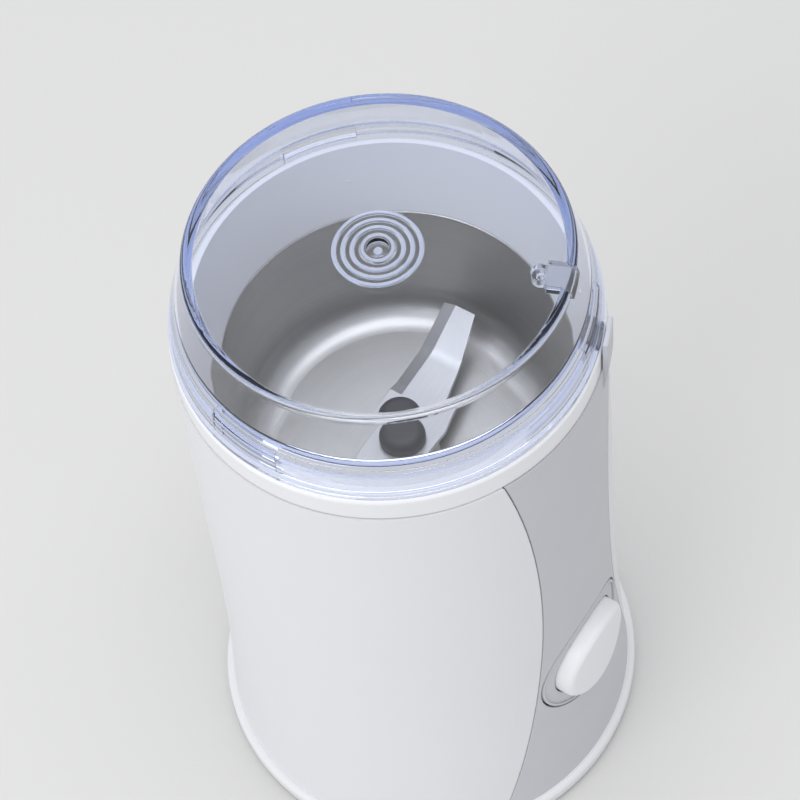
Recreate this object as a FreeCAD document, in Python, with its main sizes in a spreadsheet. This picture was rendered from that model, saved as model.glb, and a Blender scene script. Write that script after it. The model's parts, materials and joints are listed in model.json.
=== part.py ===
import FreeCAD, Part
import math
import os
import Sketcher

# Blade grinder with a push-on clear lid, in millimetres.
# The vertical axis of the machine is Z, the table is Z = 0 and the button faces -Y.

document = FreeCAD.newDocument("grinder")

# Driving sizes and named clearances. Levels end in _z and are heights above the table.
SIZES = {
    # gaps and laps used all over
    "close_gap": 0.05,
    "slip_gap": 0.1,
    "join": 0.2,
    "cut_over": 2.0,
    "spare": 20.0,
    # base and feet
    "foot_proud": 1.2,
    "foot_sink": 1.0,
    "foot_radius": 5.0,
    "foot_fit": 0.05,
    "foot_inset": 9.0,
    "ring_ledge": 1.8,
    "ring_thick": 4.2,
    "ring_edge": 1.3,
    "base_plate": 2.4,
    "spigot_gap": 0.8,
    "spigot_wall": 1.8,
    "spigot_height": 4.6,
    "vent_width": 2.6,
    "vent_pitch": 6.0,
    "vent_circle": 23.0,
    "vent_rib_half": 1.6,
    "base_screw_inset": 4.8,
    "base_screw_head": 3.2,
    "base_screw_radius": 1.6,
    "base_screw_bite": 6.0,
    "base_screw_degrees": 30.0,
    "base_head_sink": 0.1,
    "screw_hole_gap": 0.2,
    "base_boss_radius": 4.7,
    "base_boss_over": 3.0,
    "base_boss_gap": 0.4,
    # white tube
    "tube_radius": 45.0,
    "tube_taper": 1.1,
    "flare_reach": 3.1,
    "flare_top_z": 66.0,
    "flare_bend": 854.0,
    "seam_z": 149.2,
    "tube_wall": 3.2,
    # grey panel
    "panel_depth": 1.8,
    "panel_slack": 0.1,
    "panel_gap": 0.3,
    "panel_top_half": 20.5,
    "panel_waist_half": 14.4,
    "panel_waist_rise": 41.8,
    "panel_low_half": 29.6,
    "panel_upper_bend": 264.0,
    "panel_lower_bend": 260.0,
    "clip_width": 6.0,
    "clip_height": 2.0,
    "clip_reach": 4.2,
    "clip_barb": 1.0,
    "clip_across": 8.0,
    "clip_window_gap": 0.2,
    "clip_high_drop": 21.2,
    "clip_high_inset": 1.6,
    "clip_low_inset": 2.6,
    "tongue_gap": 0.3,
    "tongue_thick": 1.1,
    "tongue_half": 3.6,
    "tongue_rise": 2.4,
    "tongue_drop": 8.2,
    "tongue_edge": 0.6,
    "tongue_lap": 0.5,
    "tongue_root_in": 0.9,
    # button and its well
    "switch_under": 3.8,
    "well_radius": 16.6,
    "face_proud": 3.3,
    "surround_gap": 0.25,
    "surround_sink": 0.3,
    "surround_lip": 0.8,
    "surround_depth": 10.3,
    "surround_ledge_depth": 6.9,
    "surround_ledge_width": 2.15,
    "surround_slope": 1.5,
    "surround_rim": 1.2,
    "surround_flange_thick": 1.2,
    "button_clearance": 0.4,
    "button_dome": 0.7,
    "button_edge": 1.3,
    "button_wall": 1.6,
    "button_cap": 1.8,
    "button_flange_reach": 1.7,
    "button_flange_thick": 1.3,
    "button_flange_gap": 0.3,
    "button_stem": 2.4,
    "carrier_plate_half_x": 18.0,
    "carrier_plate_half_z": 13.0,
    "carrier_gap": 5.1,
    "carrier_plate_thick": 2.0,
    "carrier_post_x": 15.4,
    "carrier_post_up": 10.8,
    "carrier_post": 2.0,
    "carrier_cheek": 2.0,
    "carrier_corner": 3.0,
    "cheek_over": 0.6,
    "stem_gap": 0.4,
    "stem_below": 2.7,
    "plunger_gap": 0.3,
    "plunger_proud": 3.5,
    "plunger_inside": 2.6,
    "plunger_room": 3.2,
    "plunger_radius": 1.4,
    "switch_gap": 0.6,
    "switch_half_x": 9.9,
    "switch_half_z": 5.0,
    "switch_screw": 1.2,
    "switch_screw_up": 2.6,
    "switch_screw_in": 2.0,
    "switch_screw_rim": 0.9,
    "switch_screw_head": 1.2,
    "spring_wire": 0.35,
    "spring_clearance": 1.6,
    "spring_end_gap": 0.2,
    # upper white ring
    "seam_gap": 0.4,
    "collar_step": 0.4,
    "collar_height": 6.0,
    "collar_edge": 0.8,
    "collar_shelf": 3.7,
    "neck_wall": 1.6,
    "neck_height": 3.6,
    "neck_edge": 0.7,
    "chamber_taper": 3.7,
    "chamber_depth": 9.6,
    "chamber_wall": 1.5,
    "tube_fit": 0.2,
    "collar_spigot_wall": 1.7,
    "collar_spigot_depth": 6.0,
    "boss_inset": 2.2,
    "boss_radius": 2.0,
    "boss_lap": 0.5,
    "slot_inset": 0.2,
    # lid
    "lid_gap": 0.2,
    "lid_bead_inset": 0.3,
    "lid_bead_rise": 1.6,
    "lid_band_inset": 0.6,
    "lid_shoulder_inset": 0.5,
    "lid_step_inset": 1.2,
    "lid_crown_inset": 2.7,
    "lid_skirt_height": 6.8,
    "lid_step_height": 3.1,
    "lid_crown_height": 12.2,
    "lid_corner_bend": 1.6,
    "lid_roof": 2.6,
    "lid_skirt_wall": 2.2,
    "lid_inner_step": 1.4,
    "lid_inner_lip": 0.8,
    "lid_inner_slope": 3.0,
    "lid_step_slope": 0.3,
    "lid_shoulder_drop": 0.2,
    "lid_bead_slope": 0.8,
    "lid_foot_edge": 0.4,
    "lug_reach": 0.8,
    "lug_rise": 0.8,
    "lug_degrees": 22.0,
    "lug_lap": 0.4,
    "key_width": 6.0,
    "key_long": 3.6,
    "key_depth": 2.6,
    "key_nose": 1.9,
    "key_nose_in": 1.1,
    "key_hole": 0.9,
    "key_skin": 0.6,
    "key_root": 1.3,
    "key_lap": 0.5,
    "ridge_height": 0.45,
    "ridge_half": 0.5,
    "ridge_first": 8.7,
    "ridge_step": 1.8,
    "pit_radius": 2.3,
    "pit_depth": 1.5,
    "pit_rim": 1.2,
    "pit_slope": 0.3,
    "nub_radius": 0.9,
    "nub_height": 0.8,
    # interlock beside the lid
    "side_degrees": 21.5,
    "foot_lap": 0.2,
    "foot_thick": 1.4,
    "foot_half": 2.7,
    "foot_drop": 3.0,
    "foot_root": 1.0,
    "slot_gap": 0.6,
    "slot_side_gap": 0.7,
    "slot_over": 0.5,
    "slider_gap": 0.3,
    "slider_thick": 1.3,
    "slider_half": 3.0,
    "slider_over": 0.2,
    "slider_head_rise": 0.4,
    "touch_gap": 0.2,
    "slider_foot_thick": 1.6,
    "slider_foot_half": 7.0,
    "slider_foot_reach": 2.8,
    "guide_gap": 0.4,
    "guide_thick": 1.4,
    "guide_half": 8.0,
    "guide_edge": 0.3,
    "guide_back": 1.6,
    "guide_wall": 1.2,
    "guide_wall_height": 18.0,
    "guide_peg": 1.1,
    "guide_peg_height": 3.0,
    "spring_across": 4.5,
    "interlock_coil": 1.75,
    "thin_wire": 0.3,
    "spring_room": 10.8,
    "safety_near": 0.4,
    "safety_long": 7.0,
    "safety_edge": 0.8,
    "safety_height": 6.8,
    "safety_pin": 1.15,
    "safety_pin_inside": 2.4,
    "safety_pin_room": 0.4,
    # steel bowl and its carrier
    "bowl_lap": 0.3,
    "bowl_rim_width": 2.1,
    "bowl_taper": 1.3,
    "bowl_depth": 34.0,
    "bowl_corner": 7.0,
    "bowl_sheet": 0.6,
    "bowl_cone_outer": 7.5,
    "bowl_cone_inner": 4.6,
    "bowl_cone_rise": 2.4,
    "bowl_lip": 0.7,
    "cup_gap": 0.2,
    "cup_side_gap": 0.3,
    "cup_wall": 1.3,
    "cup_bend_rise": 6.0,
    "cup_floor": 3.0,
    "cup_hole": 8.2,
    "tab_radius": 2.2,
    "tab_web_half": 1.8,
    "tab_thick": 3.0,
    "tab_web_in": 0.4,
    "cup_screw": 1.2,
    "cup_screw_head": 2.0,
    "cup_screw_bite": 7.5,
    "cup_screw_room": 0.5,
    "cup_screw_top": 1.5,
    "seal_drop": 2.0,
    "seal_flange": 1.6,
    "seal_edge": 0.4,
    "seal_height": 0.9,
    # turning parts
    "shaft_radius": 3.0,
    "shaft_neck_radius": 2.4,
    "shaft_above": 3.6,
    "shaft_below": 0.8,
    "blade_above": 4.4,
    "blade_sheet": 1.2,
    "blade_clearance": 5.0,
    "blade_wing": 12.0,
    "blade_half_wide": 6.5,
    "blade_lead": 1.08,
    "blade_trail": 5.76,
    "blade_shoulder": 5.95,
    "blade_rise": 5.0,
    "blade_drop": 1.7,
    "nut_radius": 4.8,
    "nut_above": 5.4,
    "nut_crown": 2.2,
    "fit_gap": 0.03,
    "core_radius": 14.7,
    "core_long": 28.0,
    "core_slot_half": 0.8,
    "core_slot_floor": 9.6,
    "winding_radius": 12.4,
    "winding_under": 7.0,
    "winding_over": 4.4,
    "winding_corner": 2.0,
    "winding_gap": 0.6,
    "winding_bar_lap": 0.5,
    "winding_bar_gap": 0.4,
    "commutator_radius": 9.0,
    "commutator_gap": 1.6,
    "commutator_long": 9.6,
    "commutator_slit": 0.25,
    "commutator_cut": 0.8,
    "fan_radius": 22.0,
    "fan_gap": 5.6,
    "fan_disc": 1.0,
    "fan_height": 9.0,
    "fan_hub": 5.6,
    "vane_half": 0.5,
    "vane_bend_in": 6.0,
    "vane_bend_up": 1.2,
    "vane_tip_in": 0.6,
    "vane_tip_up": 4.2,
    "vane_thick": 1.0,
    "vane_lean": 0.4,
    # fixed motor parts
    "mount_height": 3.2,
    "bracket_sheet": 2.6,
    "bracket_hub": 9.0,
    "bracket_inset": 0.8,
    "bracket_side_inset": 1.8,
    "bracket_corner": 4.0,
    "lower_hub_drop": 1.0,
    "upper_slot_near": 11.5,
    "upper_slot_far": 24.0,
    "upper_slot_half": 7.0,
    "lower_slot_near": 12.0,
    "lower_slot_far": 20.0,
    "lower_slot_half": 14.0,
    "upper_leg": 8.4,
    "brush_room": 5.2,
    "leg_radius": 3.6,
    "stator_half_x": 30.0,
    "stator_half_y": 26.0,
    "stator_corner": 7.0,
    "air_gap": 0.5,
    "window_inner": 12.8,
    "window_outer": 22.8,
    "window_half_y": 17.2,
    "coil_side_gap": 0.4,
    "coil_inner_gap": 0.6,
    "coil_near": 13.4,
    "coil_far": 16.8,
    "coil_over": 5.4,
    "coil_corner": 4.0,
    "coil_inner_corner": 0.3,
    "coil_end_gap": 0.4,
    "bolt_x": 25.6,
    "bolt_y": 20.6,
    "bolt_radius": 1.7,
    "bolt_head": 3.0,
    "bolt_head_height": 1.8,
    "bolt_nut_height": 2.0,
    "bolt_end": 2.6,
    "bush_radius": 6.0,
    "bush_length": 6.0,
    "mount_x": 20.0,
    "mount_y": 12.0,
    "mount_radius": 4.0,
    "mount_screw": 1.6,
    "mount_head": 3.0,
    "mount_head_height": 1.8,
    "mount_screw_short": 0.5,
    "brush_half": 2.6,
    "brush_long": 9.0,
    "brush_gap": 0.1,
    "brush_over": 0.6,
    "brush_sink": 0.9,
    "brush_coil": 1.7,
    "brush_spring_gap": 0.15,
    "holder_gap": 1.6,
    "holder_floor": 1.2,
    "holder_wall": 1.3,
    "holder_end": 27.0,
    # supply parts
    "inlet_rise": 1.0,
    "inlet_hole": 4.3,
    "gland_bore": 3.1,
    "gland_flange": 6.0,
    "gland_lip": 1.3,
    "gland_stand_off": 0.4,
    "gland_inner_gap": 1.6,
    "gland_edge": 0.8,
    "gland_inner_less": 0.6,
    "block_half": 11.0,
    "block_deep": 9.0,
    "block_high": 11.0,
    "block_gap": 4.4,
    "block_corner": 1.0,
    "capacitor_half": 8.0,
    "capacitor_deep": 7.0,
    "capacitor_high": 16.0,
    "capacitor_step": 1.0,
    "capacitor_corner": 1.5,
    "fuse_lead_half": 13.0,
    "fuse_half": 6.0,
    "fuse_radius": 2.0,
    "fuse_lead": 0.5,
}

sheet = document.addObject("Spreadsheet::Sheet", "sizes")
for row, name in enumerate(SIZES, start=1):
    sheet.set("A%d" % row, name)
    sheet.set("B%d" % row, str(SIZES[name]))
    sheet.setAlias("B%d" % row, name)
document.recompute()


class Size:
    """A number together with the spreadsheet formula that gives it."""

    def __init__(self, value, text):
        self.value = float(value)
        self.text = text

    @staticmethod
    def of(other):
        if isinstance(other, Size):
            return other
        return Size(other, repr(float(other)))

    def __add__(self, other):
        other = Size.of(other)
        return Size(self.value + other.value, "(%s + %s)" % (self.text, other.text))

    def __sub__(self, other):
        other = Size.of(other)
        return Size(self.value - other.value, "(%s - %s)" % (self.text, other.text))

    def __mul__(self, other):
        other = Size.of(other)
        return Size(self.value * other.value, "(%s * %s)" % (self.text, other.text))

    def __truediv__(self, other):
        other = Size.of(other)
        return Size(self.value / other.value, "(%s / %s)" % (self.text, other.text))

    def __neg__(self):
        return Size(-self.value, "(-1 * %s)" % self.text)

    def root(self):
        return Size(math.sqrt(self.value), "sqrt(%s)" % self.text)

    def __radd__(self, other):
        return Size.of(other) + self

    def __rsub__(self, other):
        return Size.of(other) - self

    def __rmul__(self, other):
        return Size.of(other) * self


# Radii and levels that follow from the driving sizes and the clearances
places = {}


def s(name):
    """A size from the sheet, or a place that follows from such sizes."""
    if name in places:
        return places[name]
    return Size(SIZES[name], "sizes." + name)


# Tube and base
places["flare_top_radius"] = s("tube_radius") + s("tube_taper")
places["low_radius"] = s("flare_top_radius") + s("flare_reach")
places["ring_radius"] = s("low_radius") + s("ring_ledge")
places["ring_top_z"] = s("foot_proud") + s("ring_thick")
places["foot_circle"] = s("ring_radius") - s("foot_radius") - s("foot_inset")
places["spigot_radius"] = s("low_radius") - s("tube_wall") - s("spigot_gap")
places["spigot_top_z"] = s("ring_top_z") + s("spigot_height")
places["base_screw_circle"] = s("low_radius") - s("tube_wall") - s("base_screw_inset")
places["base_screw_top_z"] = s("spigot_top_z") + s("base_screw_bite")
places["base_boss_top_z"] = s("base_screw_top_z") + s("base_boss_over")

# Ring under the lid
places["collar_radius"] = s("tube_radius") - s("collar_step")
places["collar_low_z"] = s("seam_z") + s("seam_gap")
places["collar_top_z"] = s("collar_low_z") + s("collar_height")
places["neck_outer"] = s("collar_radius") - s("collar_shelf")
places["neck_inner"] = s("neck_outer") - s("neck_wall")
places["neck_top_z"] = s("collar_top_z") + s("neck_height")
places["chamber_low_radius"] = s("neck_inner") - s("chamber_taper")
places["chamber_low_z"] = s("collar_low_z") - s("chamber_depth")
places["collar_spigot"] = s("tube_radius") - s("tube_wall") - s("tube_fit")
places["collar_spigot_z"] = s("collar_low_z") - s("collar_spigot_depth")
places["boss_circle"] = s("collar_spigot") - s("boss_inset")

# Lid, from its foot to its crown
places["lid_low_z"] = s("collar_top_z") + s("lid_gap")
places["lid_bead_z"] = s("lid_low_z") + s("lid_bead_rise")
places["lid_lower_step_z"] = s("lid_low_z") + s("lid_skirt_height")
places["lid_upper_step_z"] = s("lid_lower_step_z") + s("lid_step_height")
places["lid_top_z"] = s("lid_upper_step_z") + s("lid_crown_height")
places["lid_bead_radius"] = s("collar_radius") - s("lid_bead_inset")
places["lid_band_radius"] = s("lid_bead_radius") - s("lid_band_inset")
places["lid_shoulder_radius"] = s("lid_band_radius") - s("lid_shoulder_inset")
places["lid_mid_radius"] = s("lid_shoulder_radius") - s("lid_step_inset")
places["lid_corner_radius"] = s("lid_mid_radius") - s("lid_crown_inset")
places["lid_inner_skirt"] = s("lid_bead_radius") - s("lid_skirt_wall")
places["lid_inner_middle"] = s("lid_inner_skirt") - s("lid_inner_step")
places["lid_inner_upper"] = s("lid_inner_middle") - s("lid_inner_lip")
places["lid_inner_corner"] = s("lid_inner_upper") - s("lid_inner_slope")
places["lug_low_z"] = s("lid_low_z") + s("lug_rise")
places["key_inner"] = s("lid_inner_corner") - s("key_long")
places["key_nose_centre"] = s("key_inner") - s("key_nose_in")

# Bowl and its cup
places["bowl_rim_inner"] = s("chamber_low_radius") - s("bowl_lap")
places["bowl_rim_outer"] = s("bowl_rim_inner") + s("bowl_rim_width")
places["bowl_floor_radius"] = s("bowl_rim_inner") - s("bowl_taper")
places["bowl_floor_z"] = s("chamber_low_z") - s("bowl_depth")
places["bowl_cone_z"] = s("bowl_floor_z") + s("bowl_cone_rise")
places["cup_rim_inner"] = s("bowl_rim_inner") + s("bowl_sheet") + s("cup_gap")
places["cup_inner"] = s("bowl_floor_radius") + s("bowl_sheet") + s("cup_side_gap")
places["cup_bend_z"] = s("bowl_floor_z") + s("cup_bend_rise")
places["cup_rim_z"] = s("chamber_low_z") - s("bowl_sheet")
places["cup_floor_top_z"] = s("bowl_floor_z") - s("bowl_sheet") - s("cup_gap")
places["cup_floor_low_z"] = s("cup_floor_top_z") - s("cup_floor")

# Motor, hung under the cup
places["blade_z"] = s("bowl_floor_z") + s("blade_above")
places["blade_half_long"] = s("bowl_floor_radius") - s("blade_clearance")
places["blade_bend"] = s("blade_half_long") - s("blade_wing")
places["shaft_top_z"] = s("blade_z") + s("shaft_above")
places["nut_top_z"] = s("blade_z") + s("nut_above")
places["upper_plate_top_z"] = s("cup_floor_low_z") - s("mount_height")
places["upper_plate_z"] = s("upper_plate_top_z") - s("bracket_sheet")
places["core_top_z"] = s("upper_plate_z") - s("upper_leg")
places["core_low_z"] = s("core_top_z") - s("core_long")
places["winding_top_z"] = s("core_top_z") + s("winding_over")
places["winding_low_z"] = s("core_low_z") - s("winding_under")
places["commutator_top_z"] = s("winding_low_z") - s("commutator_gap")
places["commutator_low_z"] = s("commutator_top_z") - s("commutator_long")
places["lower_plate_top_z"] = s("commutator_low_z") - s("brush_room")
places["lower_plate_z"] = s("lower_plate_top_z") - s("bracket_sheet")
places["fan_top_z"] = s("lower_plate_z") - s("fan_gap")
places["fan_low_z"] = s("fan_top_z") - s("fan_height")
places["shaft_low_z"] = s("fan_low_z") - s("shaft_below")
places["stator_bore"] = s("core_radius") + s("air_gap")
places["coil_inner"] = s("window_inner") + s("coil_inner_gap")
places["coil_outer"] = s("window_outer") - s("coil_side_gap")

# Button, its switch under the stator, from its face inwards; distances are in front of the axis
places["well_z"] = s("core_low_z") - s("switch_under") - s("switch_half_z")
places["button_face"] = s("tube_radius") + s("face_proud")
places["surround_back"] = s("button_face") - s("surround_depth")
places["surround_floor"] = s("button_face") - s("surround_ledge_depth")
places["surround_flange"] = s("well_radius") + s("surround_rim")
places["surround_hole"] = s("well_radius") - s("surround_gap") - s("surround_ledge_width")
places["button_radius"] = s("surround_hole") - s("button_clearance")
places["button_flange"] = s("button_radius") + s("button_flange_reach")
places["button_flange_front"] = s("surround_back") - s("button_flange_gap")
places["carrier_plate_front"] = s("surround_back") - s("carrier_gap")
places["button_stem_end"] = s("carrier_plate_front") - s("stem_below")
places["plunger_tip"] = s("button_stem_end") - s("plunger_gap")
places["switch_front"] = s("plunger_tip") - s("plunger_proud")
places["plunger_tail"] = s("switch_front") - s("plunger_inside")
places["switch_back"] = s("coil_far") + s("switch_gap")

# Panel with its clips, and the tongue beside the lid
places["clip_high_z"] = s("seam_z") - s("clip_high_drop")
places["clip_high_root"] = s("tube_radius") - s("clip_high_inset")
places["clip_low_z"] = (s("ring_top_z") + s("well_z") - s("well_radius")) / 2.0
places["panel_waist_z"] = s("well_z") + s("panel_waist_rise")
places["clip_low_root"] = s("low_radius") - s("clip_low_inset")
places["tongue_inner"] = s("collar_radius") + s("tongue_gap")
places["tongue_outer"] = s("tongue_inner") + s("tongue_thick")
places["tongue_top_z"] = s("lid_low_z") + s("tongue_rise")
places["tongue_root_z"] = s("seam_z") - s("tongue_drop")

# Interlock, from the lid's foot down to its switch
places["foot_inner"] = s("lid_inner_skirt") - s("foot_lap")
places["foot_outer"] = s("foot_inner") + s("foot_thick")
places["foot_low_z"] = s("lid_low_z") - s("foot_drop")
places["slot_inner"] = s("collar_spigot") - s("collar_spigot_wall")
places["slot_outer"] = s("foot_outer") + s("slot_gap")
places["slot_half"] = s("foot_half") + s("slot_side_gap")
places["slider_inner"] = s("slot_inner") + s("slider_gap")
places["slider_outer"] = s("slider_inner") + s("slider_thick")
places["slider_head_outer"] = s("foot_outer") + s("slider_over")
places["slider_head_low_z"] = s("collar_low_z") + s("slider_head_rise")
places["slider_top_z"] = s("foot_low_z") - s("touch_gap")
places["guide_low_z"] = s("well_z") + s("surround_flange") + s("guide_gap")
places["guide_floor_z"] = s("guide_low_z") + s("guide_thick")
places["slider_foot_z"] = s("guide_floor_z") + s("spring_room")
places["slider_foot_inner"] = s("slider_inner") - s("slider_foot_reach")
places["guide_outer"] = s("slider_outer") + s("guide_edge")
places["guide_inner"] = s("slider_foot_inner") - s("guide_back")
places["spring_radius"] = (s("guide_outer") + s("slider_foot_inner")) / 2.0
places["safety_top_z"] = s("guide_floor_z") + s("safety_height")
places["safety_tip_z"] = s("slider_foot_z") - s("touch_gap")
places["safety_tail_z"] = s("safety_top_z") - s("safety_pin_inside")
places["safety_outer"] = s("guide_outer") - s("safety_edge")
places["inlet_z"] = s("spigot_top_z") + s("gland_flange") + s("inlet_rise")


nodes = {}


def keep(name, thing):
    """Mark an object as a finished piece."""
    thing.Label = name
    nodes[name] = thing


def bind(thing, field, amount):
    """Set a length or angle and tie it to the spreadsheet."""
    amount = Size.of(amount)
    setattr(thing, field, amount.value)
    thing.setExpression(field, amount.text)


def new_body(name):
    return document.addObject("PartDesign::Body", name)


def origin_part(body, role):
    for feature in body.Origin.OriginFeatures:
        if feature.Role == role:
            return feature


def new_sketch(body, role, shift=0.0, turn=0.0, along=0.0, up=0.0):
    """A sketch on an origin plane, shifted along its normal and turned in its plane."""
    sketch = body.newObject("Sketcher::SketchObject", body.Name + "_sketch")
    sketch.AttachmentSupport = [(origin_part(body, role), "")]
    sketch.MapMode = "FlatFace"
    rotation = FreeCAD.Rotation(FreeCAD.Vector(0, 0, 1), Size.of(turn).value)
    move = FreeCAD.Vector(Size.of(along).value, Size.of(up).value, Size.of(shift).value)
    sketch.AttachmentOffset = FreeCAD.Placement(move, rotation)
    for field, amount in (("x", along), ("y", up), ("z", shift)):
        if isinstance(amount, Size):
            sketch.setExpression("AttachmentOffset.Base." + field, amount.text)
    if isinstance(turn, Size):
        sketch.setExpression("AttachmentOffset.Rotation.Angle", turn.text)
    return sketch


def constrain(sketch, constraint, amount):
    index = sketch.addConstraint(constraint)
    if isinstance(amount, Size):
        sketch.setExpression("Constraints[%d]" % index, amount.text)


def fix_point(sketch, edge, end, x, y):
    """Hold one end of an edge at x, y."""
    for kind, amount, axis in (("DistanceX", x, -2), ("DistanceY", y, -1)):
        amount = Size.of(amount) if not isinstance(amount, Size) else amount
        if abs(amount.value) < 1e-9:
            sketch.addConstraint(Sketcher.Constraint("PointOnObject", edge, end, axis))
        elif amount.value > 0:
            constrain(sketch, Sketcher.Constraint(kind, -1, 1, edge, end, amount.value), amount)
        else:
            amount = -amount
            constrain(sketch, Sketcher.Constraint(kind, edge, end, -1, 1, amount.value), amount)


def arc_between(start, end, bend):
    """Arc from start to end; a positive bend curves to the left of the way there."""
    radius = abs(bend)
    across = FreeCAD.Vector(end[0] - start[0], end[1] - start[1], 0)
    middle = FreeCAD.Vector((start[0] + end[0]) / 2, (start[1] + end[1]) / 2, 0)
    left = FreeCAD.Vector(-across.y, across.x, 0).normalize()
    depth = math.sqrt(max(radius ** 2 - (across.Length / 2) ** 2, 0.0))
    side = 1.0 if bend > 0 else -1.0
    centre = middle + left * depth * side
    first = math.atan2(start[1] - centre.y, start[0] - centre.x)
    last = math.atan2(end[1] - centre.y, end[0] - centre.x)
    if bend < 0:
        first, last = last, first
    circle = Part.Circle(centre, FreeCAD.Vector(0, 0, 1), radius)
    return Part.ArcOfCircle(circle, first, last)


def outline(sketch, points):
    """Closed outline; a third entry at a point is the bend radius of the edge that follows."""
    plain = [(Size.of(p[0]).value, Size.of(p[1]).value) for p in points]
    edges = []
    for i, point in enumerate(points):
        start = plain[i]
        end = plain[(i + 1) % len(points)]
        if len(point) == 3:
            bend = Size.of(point[2])
            edge = sketch.addGeometry(arc_between(start, end, bend.value), False)
            size = bend if bend.value > 0 else -bend
            constrain(sketch, Sketcher.Constraint("Radius", edge, size.value), size)
            edges.append((edge, 1, 2) if bend.value > 0 else (edge, 2, 1))
        else:
            line = Part.LineSegment(FreeCAD.Vector(*start, 0), FreeCAD.Vector(*end, 0))
            edges.append((sketch.addGeometry(line, False), 1, 2))
    for i, (edge, first, last) in enumerate(edges):
        following = edges[(i + 1) % len(edges)]
        sketch.addConstraint(Sketcher.Constraint("Coincident", edge, last, following[0], following[1]))
        fix_point(sketch, edge, first, points[i][0], points[i][1])


def rectangle(sketch, left, right, low, high):
    outline(sketch, [(left, low), (right, low), (right, high), (left, high)])


def rounded_rectangle(sketch, left, right, low, high, corner):
    left, right, low, high = (Size.of(side) for side in (left, right, low, high))
    outline(sketch, [
        (left + corner, low), (right - corner, low, corner),
        (right, low + corner), (right, high - corner, corner),
        (right - corner, high), (left + corner, high, corner),
        (left, high - corner), (left, low + corner, corner),
    ])


def circle(sketch, x, y, radius):
    radius = Size.of(radius)
    centre = FreeCAD.Vector(Size.of(x).value, Size.of(y).value, 0)
    shape = Part.Circle(centre, FreeCAD.Vector(0, 0, 1), radius.value)
    edge = sketch.addGeometry(shape, False)
    constrain(sketch, Sketcher.Constraint("Radius", edge, radius.value), radius)
    fix_point(sketch, edge, 3, x, y)


def revolve(body, sketch, axis="V_Axis", kind="Revolution"):
    feature = body.newObject("PartDesign::" + kind, body.Name + "_turned")
    feature.Profile = sketch
    feature.ReferenceAxis = (sketch, [axis])
    feature.Angle = 360
    document.recompute()
    return feature


def pad(body, sketch, length, back=False):
    feature = body.newObject("PartDesign::Pad", body.Name + "_pad")
    feature.Profile = sketch
    bind(feature, "Length", length)
    feature.Reversed = back
    document.recompute()
    return feature


def pocket(body, sketch, length=None, back=False):
    """Cut against the sketch's normal, or along it with back; through all without a length."""
    before = body.Shape.Volume
    feature = body.newObject("PartDesign::Pocket", body.Name + "_pocket")
    feature.Profile = sketch
    if length is None:
        feature.Type = "ThroughAll"
    else:
        bind(feature, "Length", length)
    feature.Reversed = back
    document.recompute()
    if body.Shape.Volume > before - 1e-3:
        raise RuntimeError(body.Name + ": a pocket removes nothing")
    return feature


def around(body, feature, count):
    """Repeat a feature evenly about the vertical axis."""
    pattern = body.newObject("PartDesign::PolarPattern", body.Name + "_around")
    pattern.Originals = [feature]
    pattern.Axis = (origin_part(body, "Z_Axis"), [""])
    pattern.Angle = 360
    pattern.Occurrences = count
    body.Tip = pattern
    document.recompute()
    return pattern


def turned(name, points):
    """A body turned about the vertical axis from (radius, height) points."""
    body = new_body(name)
    sketch = new_sketch(body, "XZ_Plane")
    outline(sketch, points)
    revolve(body, sketch)
    return body


def boolean(kind, name, *shapes):
    """Part boolean of whole objects: Cut takes two, MultiFuse and MultiCommon take more."""
    feature = document.addObject("Part::" + kind, name)
    if kind == "Cut":
        feature.Base, feature.Tool = shapes
    else:
        feature.Shapes = list(shapes)
    document.recompute()
    return feature


def coil(name, mean_radius, wire, height, turns):
    """A coil spring standing on its own origin plane."""
    body = new_body(name)
    sketch = new_sketch(body, "XZ_Plane")
    circle(sketch, mean_radius, wire, wire)
    feature = body.newObject("PartDesign::AdditiveHelix", name + "_wire")
    feature.Profile = sketch
    feature.ReferenceAxis = (sketch, ["V_Axis"])
    feature.Mode = "height-turns-growth"
    height = Size.of(height)
    feature.Height = height.value - 2 * Size.of(wire).value
    feature.setExpression("Height", (height - wire * 2).text)
    feature.Turns = turns
    document.recompute()
    return body


def tube_outline(outer_shift, inner_shift, low_z, high_z):
    """Profile between two offsets of the body's outside, with the flare as an arc."""
    low = s("low_radius")
    bend = s("flare_bend")
    return [
        (low + outer_shift, low_z, -(bend - outer_shift)),
        (s("flare_top_radius") + outer_shift, s("flare_top_z")),
        (s("tube_radius") + outer_shift, high_z),
        (s("tube_radius") + inner_shift, high_z),
        (s("flare_top_radius") + inner_shift, s("flare_top_z"), bend - inner_shift),
        (low + inner_shift, low_z),
    ]


def hourglass(sketch, shrink):
    """Outline of the grey panel seen from the front, made smaller by shrink."""
    top = s("panel_top_half") - shrink
    waist = s("panel_waist_half") - shrink
    low = s("panel_low_half") - shrink
    upper = s("panel_upper_bend") + shrink
    lower = s("panel_lower_bend") + shrink
    outline(sketch, [
        (-low, s("ring_top_z")), (low, s("ring_top_z"), -lower),
        (waist, s("panel_waist_z"), -upper),
        (top, s("seam_z")), (-top, s("seam_z"), -upper),
        (-waist, s("panel_waist_z"), -lower),
    ])


def box_body(name, x0, x1, y0, y1, z0, z1, corner=None, turn=0.0):
    body = new_body(name)
    sketch = new_sketch(body, "XY_Plane", shift=z0, turn=turn)
    if corner is None:
        rectangle(sketch, x0, x1, y0, y1)
    else:
        rounded_rectangle(sketch, x0, x1, y0, y1, corner)
    pad(body, sketch, z1 - z0)
    return body


def corners(across, up):
    return [(sx * across, sy * up) for sx in (1, -1) for sy in (1, -1)]


def ring_points(radius, count, first=0.0):
    """Evenly spaced points on a circle, as sizes tied to its radius."""
    points = []
    for i in range(count):
        angle = math.radians(first + 360.0 * i / count)
        points.append((radius * math.cos(angle), radius * math.sin(angle)))
    return points


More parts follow.
